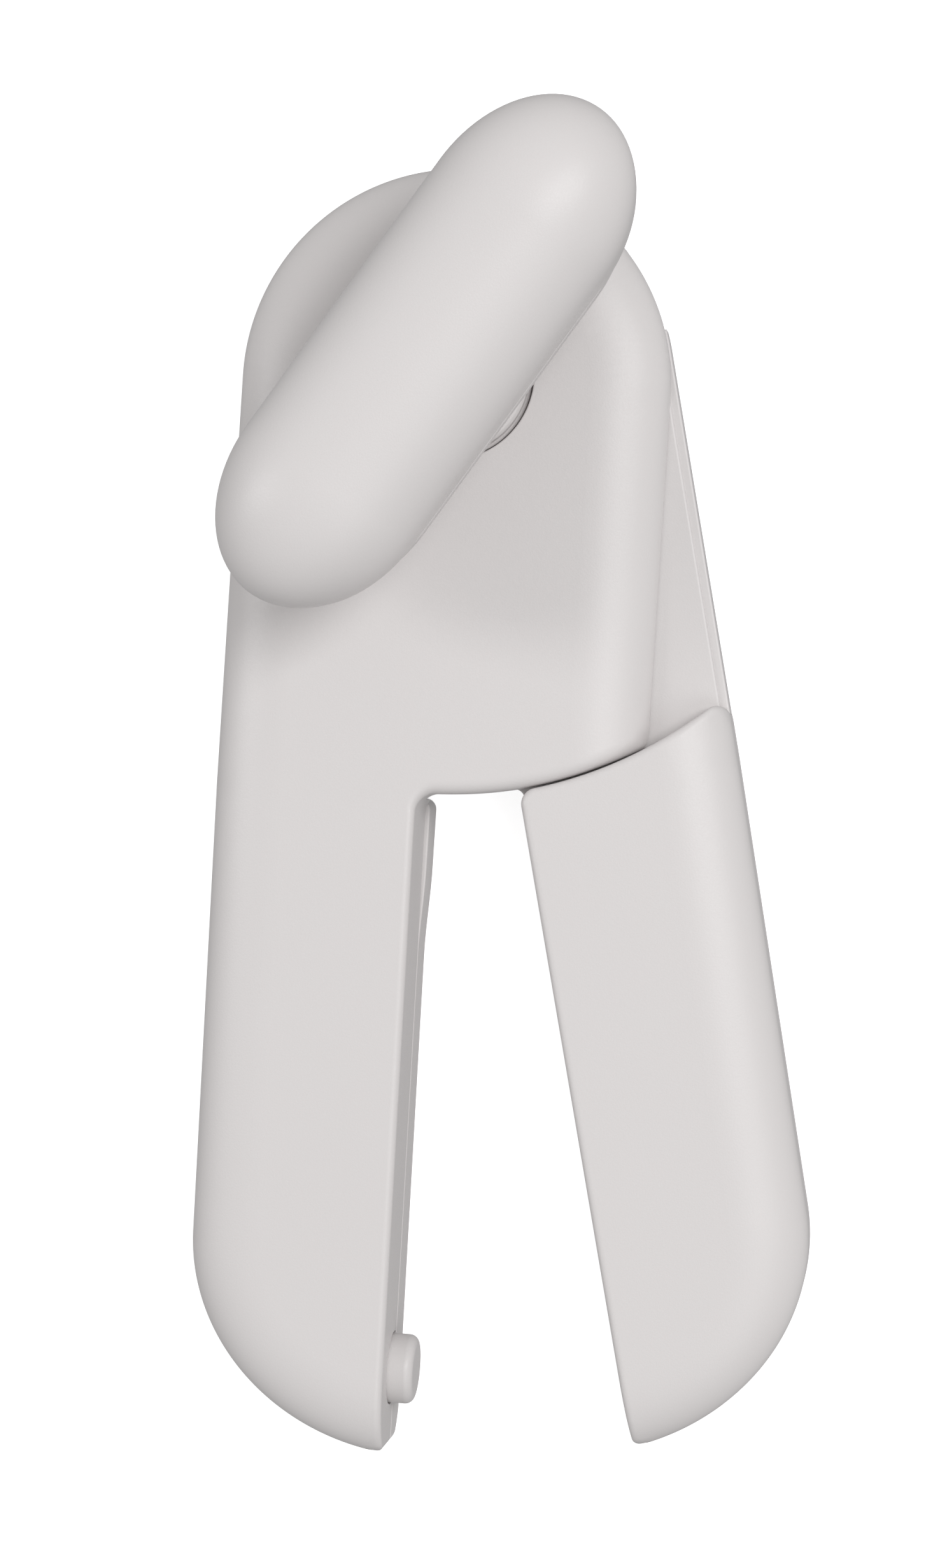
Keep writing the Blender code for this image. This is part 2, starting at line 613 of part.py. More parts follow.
def build_screws():
    """Self-tapping screws, driven from the back."""
    grips = (("left", "body", LEFT_GRIP_SCREWS), ("right", "handle", RIGHT_GRIP_SCREWS))
    for handle, body, screws in grips:
        for level, place in screws.items():
            profile = [(0.0, 14.5), (SCREW_R, 13.4), (SCREW_R, 2.9), (SCREW_HEAD_R, 2.9)]
            profile += [(SCREW_HEAD_R, 1.7), (1.6, 1.1), (0.0, 1.1)]
            screw = shift(turned("grip_screw_" + handle + "_" + level, profile, 16), *place)
            finish_part(screw, BODIES[body], "zinc")
    seat = FRAME_BOTTOM - GAP
    for level, place in FRAME_SCREWS.items():
        profile = [(0.0, 15.0), (SCREW_R, 14.2), (SCREW_R, seat), (SCREW_HEAD_R, seat)]
        profile += [(SCREW_HEAD_R, seat - 1.2), (1.6, seat - 1.8), (0.0, seat - 1.8)]
        finish_part(shift(turned("frame_screw_" + level, profile, 16), *place), BODIES["body"], "zinc")


# ---------------------------------------------------------------- knob and drive

def knob_outline(length, width):
    """A long bar seen from above, along X, whose ends are longer than half circles."""
    points = []
    half = width / 2.0
    end_length = half * KNOB_END
    straight = length / 2.0 - end_length
    for side in (1.0, -1.0):
        for step in range(13):
            angle = math.radians(-90.0 + 180.0 * step / 12.0)
            x = straight + end_length * math.cos(angle)
            points.append((side * x, side * half * math.sin(angle)))
    return points


def knob_rings(length, width, levels):
    """Rings of the knob, each level being (how far the outline is drawn in, z)."""
    outline = knob_outline(length, width)
    rings = []
    for inward, z in levels:
        plan = offset_points(outline, inward)
        rings.append([(x, y, z) for x, y in plan])
    return rings


def dome_levels(half, top, steps):
    """Levels from the widest line of the knob up over its crown."""
    levels = []
    last = math.radians(84.0)
    for step in range(steps + 1):
        angle = last * step / steps
        rise = (top - KNOB_WIDEST_Z) * math.sin(angle) / math.sin(last)
        levels.append((half * (1.0 - math.cos(angle)), KNOB_WIDEST_Z + rise))
    return levels


def build_knob():
    """Knob shell, the base that closes it from below, its collar, the shaft and the nut."""
    body = BODIES["knob"]
    half = KNOB_WIDTH / 2.0
    outside = [(0.3, KNOB_RIM_Z), (0.1, KNOB_RIM_Z + 2.6)] + dome_levels(half, KNOB_TOP, 8)
    shell = loft("knob_shell", knob_rings(KNOB_LENGTH, KNOB_WIDTH, outside))
    inside_levels = [(0.3, KNOB_RIM_Z - 1.0)] + dome_levels(half - WALL, KNOB_TOP - WALL, 5)
    inside_rings = knob_rings(KNOB_LENGTH - 2.0 * WALL, KNOB_WIDTH - 2.0 * WALL, inside_levels)
    inside = loft("knob_cavity", inside_rings)
    combine(shell, "DIFFERENCE", [inside])
    finish_part(shell, body, "white")

    top = KNOB_RIM_Z - GAP
    length, width = KNOB_LENGTH - 5.0, KNOB_WIDTH - 0.6
    levels = [(0.0, top), (0.1, top - 2.2), (0.7, top - 4.4), (3.6, KNOB_BASE_Z + 0.4), (5.0, KNOB_BASE_Z)]
    base = loft("knob_base", knob_rings(length, width, levels[::-1]))
    hollow_levels = [(3.4, KNOB_BASE_Z + 2.0), (2.0, top + 1.0)]
    hollow = loft("base_hollow", knob_rings(length, width, hollow_levels))
    combine(base, "DIFFERENCE", [hollow])
    combine(base, "UNION", [rod("base_boss", 7.0, KNOB_BASE_Z + 1.0, top + 0.3, 28)])
    combine(base, "DIFFERENCE", [rod("base_bore", SHAFT_R + 0.2, KNOB_BASE_Z - 1.0, top + 2.0, 28)])
    finish_part(base, body, "white")

    bore = SHAFT_R + 0.2
    profile = [(8.2, KNOB_BASE_Z - GAP), (8.4, 19.6), (9.4, 19.2), (10.9, 18.9), (HUB_R, 18.4)]
    profile += [(HUB_R, 17.6), (HUB_R + 0.5, 17.6), (HUB_R + 0.5, 15.3), (bore, 15.3)]
    profile.append((bore, KNOB_BASE_Z - GAP))
    finish_part(turned("hub_collar", profile, 40, closed=True), body, "white")

    shoulder = top + 0.3
    tip = KNOB_WIDEST_Z - 0.4
    profile = [(0.0, tip), (2.0, tip), (2.4, tip - 0.4), (2.4, shoulder), (SHAFT_R, shoulder)]
    profile += [(SHAFT_R, 2.1), (2.6, 1.7), (0.0, 1.7)]
    finish_part(turned("drive_shaft", profile, 32), body, "steel")
    hexagon = circle((0.0, 0.0), 4.6, 6)
    nut = flat_piece("knob_nut", [hexagon, circle((0.0, 0.0), 2.6, 20)], shoulder + GAP, shoulder + 3.6)
    finish_part(nut, body, "zinc")


def build_drive():
    """Toothed drive wheel at the foot of the shaft, its washer and its nut."""
    body = BODIES["knob"]
    washer = tube("thrust_washer", SHAFT_R + 0.2, 5.6, CARRIAGE_TOP - 0.6, CARRIAGE_TOP)
    finish_part(washer, body, "steel")
    teeth = 24
    outline = []
    for tooth in range(teeth):
        for part, radius in ((0.0, DRIVE_WHEEL_R - 0.8), (0.35, DRIVE_WHEEL_R), (0.65, DRIVE_WHEEL_R)):
            angle = 2.0 * math.pi * (tooth + part) / teeth
            outline.append((radius * math.cos(angle), radius * math.sin(angle)))
    bore = circle((0.0, 0.0), SHAFT_R + 0.2)
    finish_part(flat_piece("drive_wheel", [outline, bore], 3.8, 6.2), body, "hard_steel")
    hexagon = circle((0.0, 0.0), 4.2, 6)
    finish_part(flat_piece("wheel_nut", [hexagon, bore], 2.0, 3.5), body, "zinc")


# ---------------------------------------------------------------- cutter

def build_cutter():
    """Sliding carriage with its cam follower, and the cutter wheel on its axle and clip."""
    body = BODIES["carriage"]
    inner_y, outer_y = CUTTER_Y + 5.4, FOLLOWER_Y - 6.0
    outline = [(-7.0, outer_y), (7.0, outer_y), (7.0, inner_y - 3.0), (4.5, inner_y)]
    outline += [(-4.5, inner_y), (-7.0, inner_y - 3.0)]
    holes = [circle((0.0, CUTTER_Y), 2.2, 20), circle((0.0, FOLLOWER_Y), FOLLOWER_R + 0.2, 20)]
    carriage = flat_piece("cutter_carriage", [outline] + holes, CARRIAGE_BOTTOM, CARRIAGE_TOP)
    finish_part(carriage, body, "steel")

    profile = [(0.0, PLATE_TOP - GAP), (FOLLOWER_R, PLATE_TOP - GAP), (FOLLOWER_R, CARRIAGE_BOTTOM - 0.2)]
    profile += [(2.0, CARRIAGE_BOTTOM - 0.2), (2.0, CARRIAGE_BOTTOM - 0.9), (0.0, CARRIAGE_BOTTOM - 0.9)]
    finish_part(shift(turned("follower_pin", profile, 24), 0.0, FOLLOWER_Y), body, "hard_steel")

    profile = [(0.0, CARRIAGE_TOP), (2.0, CARRIAGE_TOP), (2.0, CARRIAGE_BOTTOM - 0.2)]
    profile += [(2.8, CARRIAGE_BOTTOM - 0.2), (2.8, 3.8), (2.0, 3.8), (2.0, 1.9), (1.4, 1.9), (1.4, 1.2)]
    profile += [(2.0, 1.2), (2.0, 0.8), (0.0, 0.8)]
    finish_part(shift(turned("cutter_axle", profile, 24), 0.0, CUTTER_Y), body, "steel")
    ring = arc((0.0, 0.0), 3.6, 30.0, 330.0, 20) + arc((0.0, 0.0), 1.6, 330.0, 30.0, 20)
    finish_part(shift(flat_piece("cutter_clip", [ring], 1.3, 1.8), 0.0, CUTTER_Y), body, "hard_steel")

    profile = [(4.2, 3.5), (4.6, 3.2), (CUTTER_R, 2.85), (CUTTER_R, 2.75), (4.6, 2.4), (4.2, 2.1)]
    profile += [(2.2, 2.1), (2.2, 3.5)]
    finish_part(turned("cutter_wheel", profile, 48, closed=True), BODIES["cutter"], "hard_steel")


# ---------------------------------------------------------------- catch stud

def build_catch():
    """Sprung stud in the inner wall of the left grip, and the spring behind it.

    Both are made about the stud's own axis, with x measured from the hinge.
    """
    tip = STUD_TIP_X
    profile = [(0.0, tip), (STUD_R - 1.4, tip), (STUD_R - 0.5, tip - 0.4), (STUD_R, tip - 1.4)]
    collar = STUD_COLLAR_X
    profile += [(STUD_R, collar), (6.2, collar), (6.2, collar - 1.4), (1.9, collar - 1.4)]
    profile += [(1.9, collar - 5.3), (0.0, collar - 5.3)]
    stud = lay_along_x(turned("catch_stud", profile, 32))
    finish_part(stud, BODIES["stud"], "white")

    turns, coil_r, wire = 4.5, 3.0, 0.35
    start, end = STUD_COLLAR_X - 9.2, STUD_COLLAR_X - 1.8
    curve = bpy.data.curves.new("coil", "CURVE")
    curve.dimensions = "3D"
    curve.bevel_depth = wire * MM
    curve.bevel_resolution = 2
    curve.use_fill_caps = True
    count = 60
    spline = curve.splines.new("POLY")
    spline.points.add(count)
    for index, point in enumerate(spline.points):
        angle = 2.0 * math.pi * turns * index / count
        along = start + wire + (end - start - 2.0 * wire) * index / count
        place = (along, coil_r * math.cos(angle), coil_r * math.sin(angle))
        point.co = (*[value * MM for value in place], 1.0)
    coil = bpy.data.objects.new("coil", curve)
    PARTS.objects.link(coil)
    bpy.context.view_layer.update()
    mesh = bpy.data.meshes.new_from_object(coil.evaluated_get(bpy.context.evaluated_depsgraph_get()))
    bpy.data.objects.remove(coil, do_unlink=True)
    bm = bmesh.new()
    bm.from_mesh(mesh)
    bmesh.ops.remove_doubles(bm, verts=bm.verts, dist=MERGE)
    bm.to_mesh(mesh)
    bm.free()
    spring = mesh_object("stud_spring", mesh)
    finish_part(shift(spring, 0.0, STUD_Y, STUD_Z), BODIES["body"], "steel")


# ---------------------------------------------------------------- assembly

def parts_box():
    bpy.context.view_layer.update()
    pieces = [obj for obj in PARTS.objects if obj.type == "MESH"]
    corners = [obj.matrix_world @ vert.co for obj in pieces for vert in obj.data.vertices]
    low = Vector([min(corner[axis] for corner in corners) for axis in range(3)])
    high = Vector([max(corner[axis] for corner in corners) for axis in range(3)])
    return low, high


clear_scene()
PARTS = new_collection(NAME)
CUTTERS = new_collection("cutters")
TOOL = new_empty("tool_frame")
BODIES = {
    "body": TOOL,
    "handle": new_empty("handle_hinge_axis", TOOL, turn=OPEN_ANGLE),
    "knob": new_empty("knob_axis", TOOL, turn=KNOB_ANGLE),
    "carriage": new_empty("carriage_path", TOOL),
    "stud": new_empty("stud_axis", TOOL, location=(0.0, STUD_Y, STUD_Z)),
}
BODIES["cutter"] = new_empty("cutter_axis", BODIES["carriage"], location=(0.0, CUTTER_Y, 0.0))

build_main_cover()
build_left_grip_back()
build_right_handle_front()
build_right_grip_back()
build_frame_plate()
build_pivot()
build_rim_guide()
build_rails()
build_screws()
build_knob()
build_drive()
build_cutter()
build_catch()

# The origin is the middle of the base of the whole object's box.
LOW, HIGH = parts_box()
TOOL.location = (-(LOW.x + HIGH.x) / 2.0, -(LOW.y + HIGH.y) / 2.0, -LOW.z)
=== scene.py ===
"""Looks of the hand-turned can opener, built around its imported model.

Lengths are millimetres until a piece is placed.  Every piece is drawn with the hinge axis at x = 0, y = 0,
the back of the grips at z = 0, +Y towards the head and +Z towards the knob, as in the model; the right
handle and the knob are drawn unturned.
"""
import json
import math

import bmesh
import bpy
import numpy as np
from mathutils import Matrix, Vector
from mathutils.geometry import delaunay_2d_cdt


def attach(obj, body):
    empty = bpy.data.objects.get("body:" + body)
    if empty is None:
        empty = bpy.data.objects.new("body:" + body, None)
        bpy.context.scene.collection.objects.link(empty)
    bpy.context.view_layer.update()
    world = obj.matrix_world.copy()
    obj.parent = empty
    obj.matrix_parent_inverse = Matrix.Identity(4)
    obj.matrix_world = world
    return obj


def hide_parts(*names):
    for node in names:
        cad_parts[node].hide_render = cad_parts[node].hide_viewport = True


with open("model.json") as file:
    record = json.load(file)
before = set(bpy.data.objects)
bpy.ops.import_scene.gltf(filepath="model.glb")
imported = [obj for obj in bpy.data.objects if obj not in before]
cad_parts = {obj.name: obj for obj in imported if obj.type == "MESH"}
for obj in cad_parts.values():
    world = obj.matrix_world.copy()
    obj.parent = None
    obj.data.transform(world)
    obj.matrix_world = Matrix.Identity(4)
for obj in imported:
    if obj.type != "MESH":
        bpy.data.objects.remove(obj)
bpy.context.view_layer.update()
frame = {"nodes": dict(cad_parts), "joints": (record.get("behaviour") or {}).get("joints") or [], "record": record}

HINGE = Vector(next(j["pos_m"] for j in frame["joints"] if j["name"] == "handle_hinge"))
SLOTS = {row["node"]: row["material_slot"] for row in frame["record"]["subparts"]}
BODIES = {node: body for body, nodes in frame["record"]["behaviour"]["bodies"].items() for node in nodes}

MM = 0.001
MERGE = 0.0005
CDT_EPSILON = 0.00001
JOIN_Y = -60.0            # where the head passes into the straight sides of the grips

# Sizes of the model
HEAD_R = 31.2
HEAD_DROP = 0.8
HEAD_EDGE_R = 59.8
GRIP_TOP_R = 60.1
GRIP_END_Y = -125.1
GRIP_END_R = 33.5
GRIP_END_LENGTH = 30.38
GRIP_TAPER = 0.7
LEFT_WALL_X = -1.1
RIGHT_WALL_X = 0.1
WALL_LEAN = 0.7
FRONT_Z = 19.0
SPLIT_Z = 7.4
GAP = 0.3
WALL = 2.2
MARGIN = 6.5
SHOULDER = (10.5, 6.5)
BACK_SHOULDER = (6.0, 6.0)
TIP_R = 1.3
WALL_BULGE = 0.6
BULGE_LOW_Y = -84.0
BULGE_LENGTH = 14.0
HEAD_CORNER_R = 1.2
CROTCH_R = 2.8
OPEN_ANGLE = 13.0
HANDLE_SWING = 30.0
PLATE_TOP = 12.5
PLATE_BOTTOM = 9.6
COVER_RIM_Z = 12.8
DISC_R = 27.7
STRIP_WIDTH = 1.2
STRIP_DROP = 0.5
FRAME_TOP = 9.0
FRAME_BOTTOM = SPLIT_Z
CARRIAGE_TOP = 7.1
CARRIAGE_BOTTOM = 5.3
GUIDE_Y = 14.0
HUB_HOLE_R = 12.1
HUB_R = 11.3
PIVOT_R = 12.0
SHAFT_R = 3.0
KNOB_ANGLE = 57.0
KNOB_END = 1.33
KNOB_LENGTH = 80.5
KNOB_WIDTH = 27.4
KNOB_TOP = 54.7
KNOB_WIDEST_Z = 43.7
KNOB_RIM_Z = 38.0
KNOB_BASE_Z = 31.6
BUSH_R = 4.1
DRIVE_WHEEL_R = 7.0
CUTTER_R = 8.0
CUTTER_TRAVEL = 4.0
CUTTER_CLOSED_Y = -13.2
FOLLOWER_CLOSED_R = 18.33
FOLLOWER_R = 1.5
CAM_HALF_WIDTH = 1.8
LIFT_PER_DEGREE = CUTTER_TRAVEL / HANDLE_SWING
CUTTER_Y = CUTTER_CLOSED_Y - LIFT_PER_DEGREE * OPEN_ANGLE
FOLLOWER_Y = -FOLLOWER_CLOSED_R - LIFT_PER_DEGREE * OPEN_ANGLE
STUD_Y = -143.5
STUD_Z = 9.5
STUD_R = 5.0
STUD_TIP_X = 3.1
STUD_COLLAR_X = -3.0
STUD_CLEARANCE = 0.9
BORE_CLEARANCE = 0.2
LEFT_GRIP_SCREWS = {"upper": (-16.0, -78.0), "lower": (-16.0, -120.0)}
RIGHT_GRIP_SCREWS = {"upper": (15.5, -78.0), "lower": (15.5, -120.0)}
FRAME_SCREWS = {"upper": (-21.5, -27.5), "middle": (-22.0, -47.0), "lower": (-8.2, -46.0)}
POST_R = 3.2
SCREW_R = 1.3
SCREW_HEAD_R = 2.6
PILOT_TOP = 15.5

# Small roundings that only the looks have
ARC_EDGE = 1.9           # along the lower edge of the head cover
WALL_EDGE = 1.0          # along the inner walls and the top of the right grip
PARTING_EDGE = 0.25      # where a moulding ends
SHARP_ANGLE = 35.0
STRAIGHT_ANGLE = 155.0   # corners wider than this are left as they are
MOST_OF_SIDE = 0.45      # share of a side that one rounded corner may take
FACE_WEIGHT = 60

# Between these lie nearly all values of a noise texture
NOISE_LOW = 0.3
NOISE_HIGH = 0.7

# Floor, in metres, and the light from all round
FLOOR_SIZE = 30.0
FLOOR_DROP = 0.00005
WORLD_STRENGTH = 0.39

# How far each body is turned from the way it is drawn, in degrees
TURN = {"body": 0.0, "handle": OPEN_ANGLE, "knob": KNOB_ANGLE, "carriage": 0.0, "cutter": 0.0, "stud": 0.0}


# ---------------------------------------------------------------- lines

def arc(centre, radius, start, end, steps):
    """Points of an arc between two angles in degrees."""
    points = []
    for index in range(steps + 1):
        angle = math.radians(start + (end - start) * index / steps)
        points.append((centre[0] + radius * math.cos(angle), centre[1] + radius * math.sin(angle)))
    return points


def circle(centre, radius, steps=96):
    return arc(centre, radius, 0.0, 360.0, steps)[:-1]


def below(distance, x):
    """The point below the hinge at this distance from it and this x."""
    return (x, -math.sqrt(distance * distance - x * x))


def polar(point):
    """Direction of a point as seen from (0, 0), in degrees."""
    return math.degrees(math.atan2(point[1], point[0]))


def dense(line, longest=3.0, closed=True):
    """Adds points so that no side is longer than this."""
    result = []
    ends = line[1:] + line[:1] if closed else line[1:]
    for first, second in zip(line, ends):
        count = max(1, math.ceil(math.dist(first, second) / longest))
        for index in range(count):
            share = index / count
            result.append(tuple(a + (b - a) * share for a, b in zip(first, second)))
    return result if closed else result + [line[-1]]


def offset(line, distances, closed=True):
    """Moves a line to its left, by one distance or one for each point."""
    moved = []
    count = len(line)
    for index, point in enumerate(line):
        before, after = line[index - 1], line[(index + 1) % count]
        if not closed and index == 0:
            before = (2.0 * point[0] - after[0], 2.0 * point[1] - after[1])
        if not closed and index == count - 1:
            after = (2.0 * point[0] - before[0], 2.0 * point[1] - before[1])
        first = Vector((point[0] - before[0], point[1] - before[1])).normalized()
        second = Vector((after[0] - point[0], after[1] - point[1])).normalized()
        left = Vector((-first.y - second.y, first.x + second.x)).normalized()
        stretch = max(left.dot(Vector((-first.y, first.x))), 0.5)
        distance = distances if isinstance(distances, float) else distances[index]
        moved.append((point[0] + left.x * distance / stretch, point[1] + left.y * distance / stretch))
    return moved


def rounded(points, radius, closed=False, steps=4):
    """Rounds the corners of a line as far as its sides allow."""
    result = []
    count = len(points)
    for index, point in enumerate(points):
        if not closed and index in (0, count - 1):
            result.append(tuple(point))
            continue
        here = Vector(point)
        back, on = Vector(points[index - 1]) - here, Vector(points[(index + 1) % count]) - here
        corner = back.angle(on)
        if corner > math.radians(STRAIGHT_ANGLE):
            result.append(tuple(point))
            continue
        reach = min(radius / math.tan(corner / 2.0), MOST_OF_SIDE * back.length, MOST_OF_SIDE * on.length)
        start, end = here + back.normalized() * reach, here + on.normalized() * reach
        for step in range(steps + 1):
            share = step / steps
            point = start * (1 - share) ** 2 + here * (2 * share * (1 - share)) + end * share ** 2
            result.append(tuple(point))
    return result


def tool_outline(side):
    """Outside of the closed tool with the round end of one grip; side is -1 for left, +1 for right."""
    centre = (side * (HEAD_R - GRIP_TAPER - GRIP_END_R), GRIP_END_Y)
    run = arc((0.0, -HEAD_DROP), HEAD_R, 0.0, 180.0, 120) + [(-HEAD_R, JOIN_Y)]
    for x, y in arc(centre, GRIP_END_R, 180.0, 360.0, 120):
        run.append((x, GRIP_END_Y + (y - GRIP_END_Y) * GRIP_END_LENGTH / GRIP_END_R))
    return dense(run + [(HEAD_R, JOIN_Y)])


def tip_line(wall_x, inset):
    """From outside the left grip's end, round its tip and onto its inner wall."""
    centre_x = GRIP_END_R + GRIP_TAPER - HEAD_R
    reach = inset + TIP_R
    across = wall_x - TIP_R - centre_x
    edge = Vector((across / GRIP_END_R, -1.0))
    for _ in range(8):
        outward = Vector((edge.x / GRIP_END_R, edge.y / GRIP_END_LENGTH)).normalized()
        edge.x = (across + reach * outward.x) / GRIP_END_R
        edge.y = -math.sqrt(1.0 - edge.x * edge.x)
    tip = (wall_x - TIP_R, GRIP_END_Y + GRIP_END_LENGTH * edge.y - reach * outward.y)
    start = (tip[0] + outward.x * (reach + MARGIN), tip[1] + outward.y * (reach + MARGIN))
    return [start] + arc(tip, TIP_R, polar(outward), 0.0, 20)


def cover_cut(inset=0.0):
    """The head's lower edge and the left grip's inner wall: the line, and the points that close it."""
    crotch = below(HEAD_EDGE_R + CROTCH_R, LEFT_WALL_X + CROTCH_R)
    edge_r = HEAD_EDGE_R - inset
    corner = below(edge_r - HEAD_CORNER_R, HEAD_R - inset - HEAD_CORNER_R)
    far_x, far_top, far_low = HEAD_R + MARGIN, HEAD_R + MARGIN, GRIP_END_Y - GRIP_END_LENGTH - MARGIN
    wall = tip_line(LEFT_WALL_X + WALL_LEAN - inset, inset)
    turn = arc(crotch, CROTCH_R + inset, 180.0, 180.0 + polar(crotch), 24)
    edge = arc((0.0, 0.0), edge_r, polar(crotch), polar(corner), 60)[1:]
    edge += arc(corner, HEAD_CORNER_R, polar(corner), 0.0, 12)[1:]
    line = [(*point, WALL_EDGE) for point in wall]
    for index, point in enumerate(turn):
        line.append((*point, WALL_EDGE + (ARC_EDGE - WALL_EDGE) * index / (len(turn) - 1)))
    line += [(*point, ARC_EDGE) for point in edge] + [(far_x, edge[-1][1] + 0.5, ARC_EDGE)]
    return dense(line, closed=False), [(far_x, far_top), (-far_x, far_top), (-far_x, far_low)]


def grip_cut(side, wall_x, top_r, corner_r, outer_corner_r, inset=0.0, bulge=0.0, edge=WALL_EDGE):
    """The inner wall and the top of a grip: the line, and the points that close it."""
    wall_x = -side * wall_x - inset
    top_r += inset
    inner = below(top_r + corner_r, wall_x + bulge - corner_r)
    outer = below(top_r + outer_corner_r, outer_corner_r + inset - HEAD_R)
    far_x, far_low = HEAD_R + MARGIN, GRIP_END_Y - GRIP_END_LENGTH - MARGIN
    run = tip_line(wall_x - side * WALL_LEAN, inset)
    if bulge:
        for index in range(9):
            share = index / 8.0
            swell = bulge * share * share * (3.0 - 2.0 * share)
            lean = -side * WALL_LEAN * 0.25 * (1.0 - share)
            run.append((wall_x + lean + swell, BULGE_LOW_Y + BULGE_LENGTH * share))
    run += arc(inner, corner_r, 0.0, 180.0 + polar(inner), 16)
    run += arc((0.0, 0.0), top_r, polar(inner), polar(outer), 36)[1:-1]
    run += arc(outer, outer_corner_r, 180.0 + polar(outer), 180.0, 16)
    run.append((-far_x, outer[1] - 0.5))
    far = [(-far_x, far_low)]
    if side > 0:
        run = [(-x, y) for x, y in reversed(run)]
        far = [(far_x, far_low)]
    return dense([(*point, edge) for point in run], closed=False), far


# ---------------------------------------------------------------- solids

def inside(points, loop):
    """Which points lie inside a closed loop."""
    first = np.array(loop)
    second = np.roll(first, -1, axis=0)
    x, y = points[:, :1], points[:, 1:2]
    crosses = (first[:, 1] > y) != (second[:, 1] > y)
    rise = second[:, 1] - first[:, 1]
    rise = np.where(rise == 0.0, 1.0, rise)
    at = first[:, 0] + (y - first[:, 1]) * (second[:, 0] - first[:, 0]) / rise
    return (np.sum(crosses & (x < at), axis=1) % 2).astype(bool)


def distance_to(points, line, closed=True):
    """Distance from each point to a line, and the line's own third value at the nearest place."""
    line = np.array([tuple(point) + (0.0,) * (3 - len(point)) for point in line])
    first = line if closed else line[:-1]
    second = np.roll(line, -1, axis=0) if closed else line[1:]
    side = second[:, :2] - first[:, :2]
    length = np.maximum((side ** 2).sum(axis=1), 1e-12)
    nearest, value = [], []
    for start in range(0, len(points), 2000):
        part = points[start:start + 2000, None, :]
        share = np.clip(((part - first[:, :2]) * side).sum(axis=2) / length, 0.0, 1.0)
        away = ((part - first[:, :2] - share[:, :, None] * side) ** 2).sum(axis=2)
        best = away.argmin(axis=1)
        rows = np.arange(len(best))
        nearest.append(np.sqrt(away[rows, best]))
        value.append(first[best, 2] + share[rows, best] * (second[best, 2] - first[best, 2]))
    return np.concatenate(nearest), np.concatenate(value)


def drop(distance, width, height):
    """How far a quarter ellipse of this width and height falls at a distance from the edge."""
    share = 1.0 - np.clip(distance / width, 0.0, 1.0)
    return height * (1.0 - np.sqrt(1.0 - share ** 2))


def quarter(steps):
    """Even turns of a quarter circle, as shares of its width from the edge, without the edge itself."""
    return [1.0 - math.cos(math.pi / 2.0 * step / steps) for step in range(1, steps + 1)]


def fill(loops, lines):
    """Triangles over closed loops and open lines: their points and their faces."""
    points, edges = [], []
    for line, closed in [(loop, True) for loop in loops] + [(line, False) for line in lines]:
        first = len(points)
        points += [Vector(point[:2]) for point in line]
        edges += [(index, index + 1) for index in range(first, len(points) - 1)]
        if closed:
            edges.append((len(points) - 1, first))
    verts, _, faces, *_ = delaunay_2d_cdt(points, edges, [], 0, CDT_EPSILON)
    plan = np.array([tuple(vert) for vert in verts])
    return plan, np.array([list(face) for face in faces])


def rims(faces):
    """Loops of points round a filled plan, which lies to their left."""
    sides = set()
    for a, b, c in faces:
        sides.update(((a, b), (b, c), (c, a)))
    after = {a: b for a, b in sides if (b, a) not in sides}
    loops = []
    while after:
        start = here = next(iter(after))
        loop = []
        while here in after:
            loop.append(here)
            here = after.pop(here)
        if here == start and len(loop) > 2:
            loops.append(loop)
    return loops


def new_object(name, bm):
    bmesh.ops.remove_doubles(bm, verts=bm.verts, dist=MERGE)
    bmesh.ops.dissolve_degenerate(bm, edges=bm.edges, dist=MERGE / 10.0)
    bmesh.ops.recalc_face_normals(bm, faces=bm.faces)
    mesh = bpy.data.meshes.new(name)
    bm.to_mesh(mesh)
    bm.free()
    obj = bpy.data.objects.new(name, mesh)
    bpy.context.scene.collection.objects.link(obj)
    return obj


def relief(name, bounds, holes, lines, height, foot, foot_edge=0.0):
    """A closed solid with a flat foot, whose top has height(plan) wherever all the bounds overlap."""
    plan, faces = fill(bounds + holes, lines)
    centres = plan[faces].mean(axis=1)
    kept = np.all([inside(centres, loop) for loop in bounds], axis=0)
    for loop in holes:
        kept &= ~inside(centres, loop)
    faces = [tuple(int(index) for index in face) for face in faces[kept]]
    used = sorted({index for face in faces for index in face})
    levels = dict(zip(used, height(plan[used])))
    bm = bmesh.new()
    top = {index: bm.verts.new((*plan[index], levels[index])) for index in used}
    for face in faces:
        bm.faces.new([top[index] for index in face])
    feet = []
    for loop in rims(faces):
        points = [tuple(plan[index]) for index in loop]
        upper = [top[index] for index in loop]
        rows = [(points, foot + foot_edge)]
        if foot_edge:
            for share in (0.3, 1.0):
                rows.append((offset(points, foot_edge * share), foot + foot_edge * (1.0 - share) ** 2))
        for row, level in rows:
            lower = [bm.verts.new((*point, level)) for point in row]
            for index in range(len(loop)):
                after = (index + 1) % len(loop)
                bm.faces.new((upper[after], upper[index], lower[index], lower[after]))
            upper = lower
        feet.append(rows[-1][0])
    base, triangles = fill(feet, [])
    centres = base[triangles].mean(axis=1)
    odd = np.sum([inside(centres, loop) for loop in feet], axis=0) % 2 == 1
    verts = [bm.verts.new((*point, foot)) for point in base]
    for face in triangles[odd]:
        bm.faces.new([verts[index] for index in face[::-1]])
    bmesh.ops.delete(bm, geom=[vert for vert in bm.verts if not vert.link_faces], context="VERTS")
    return new_object(name, bm)


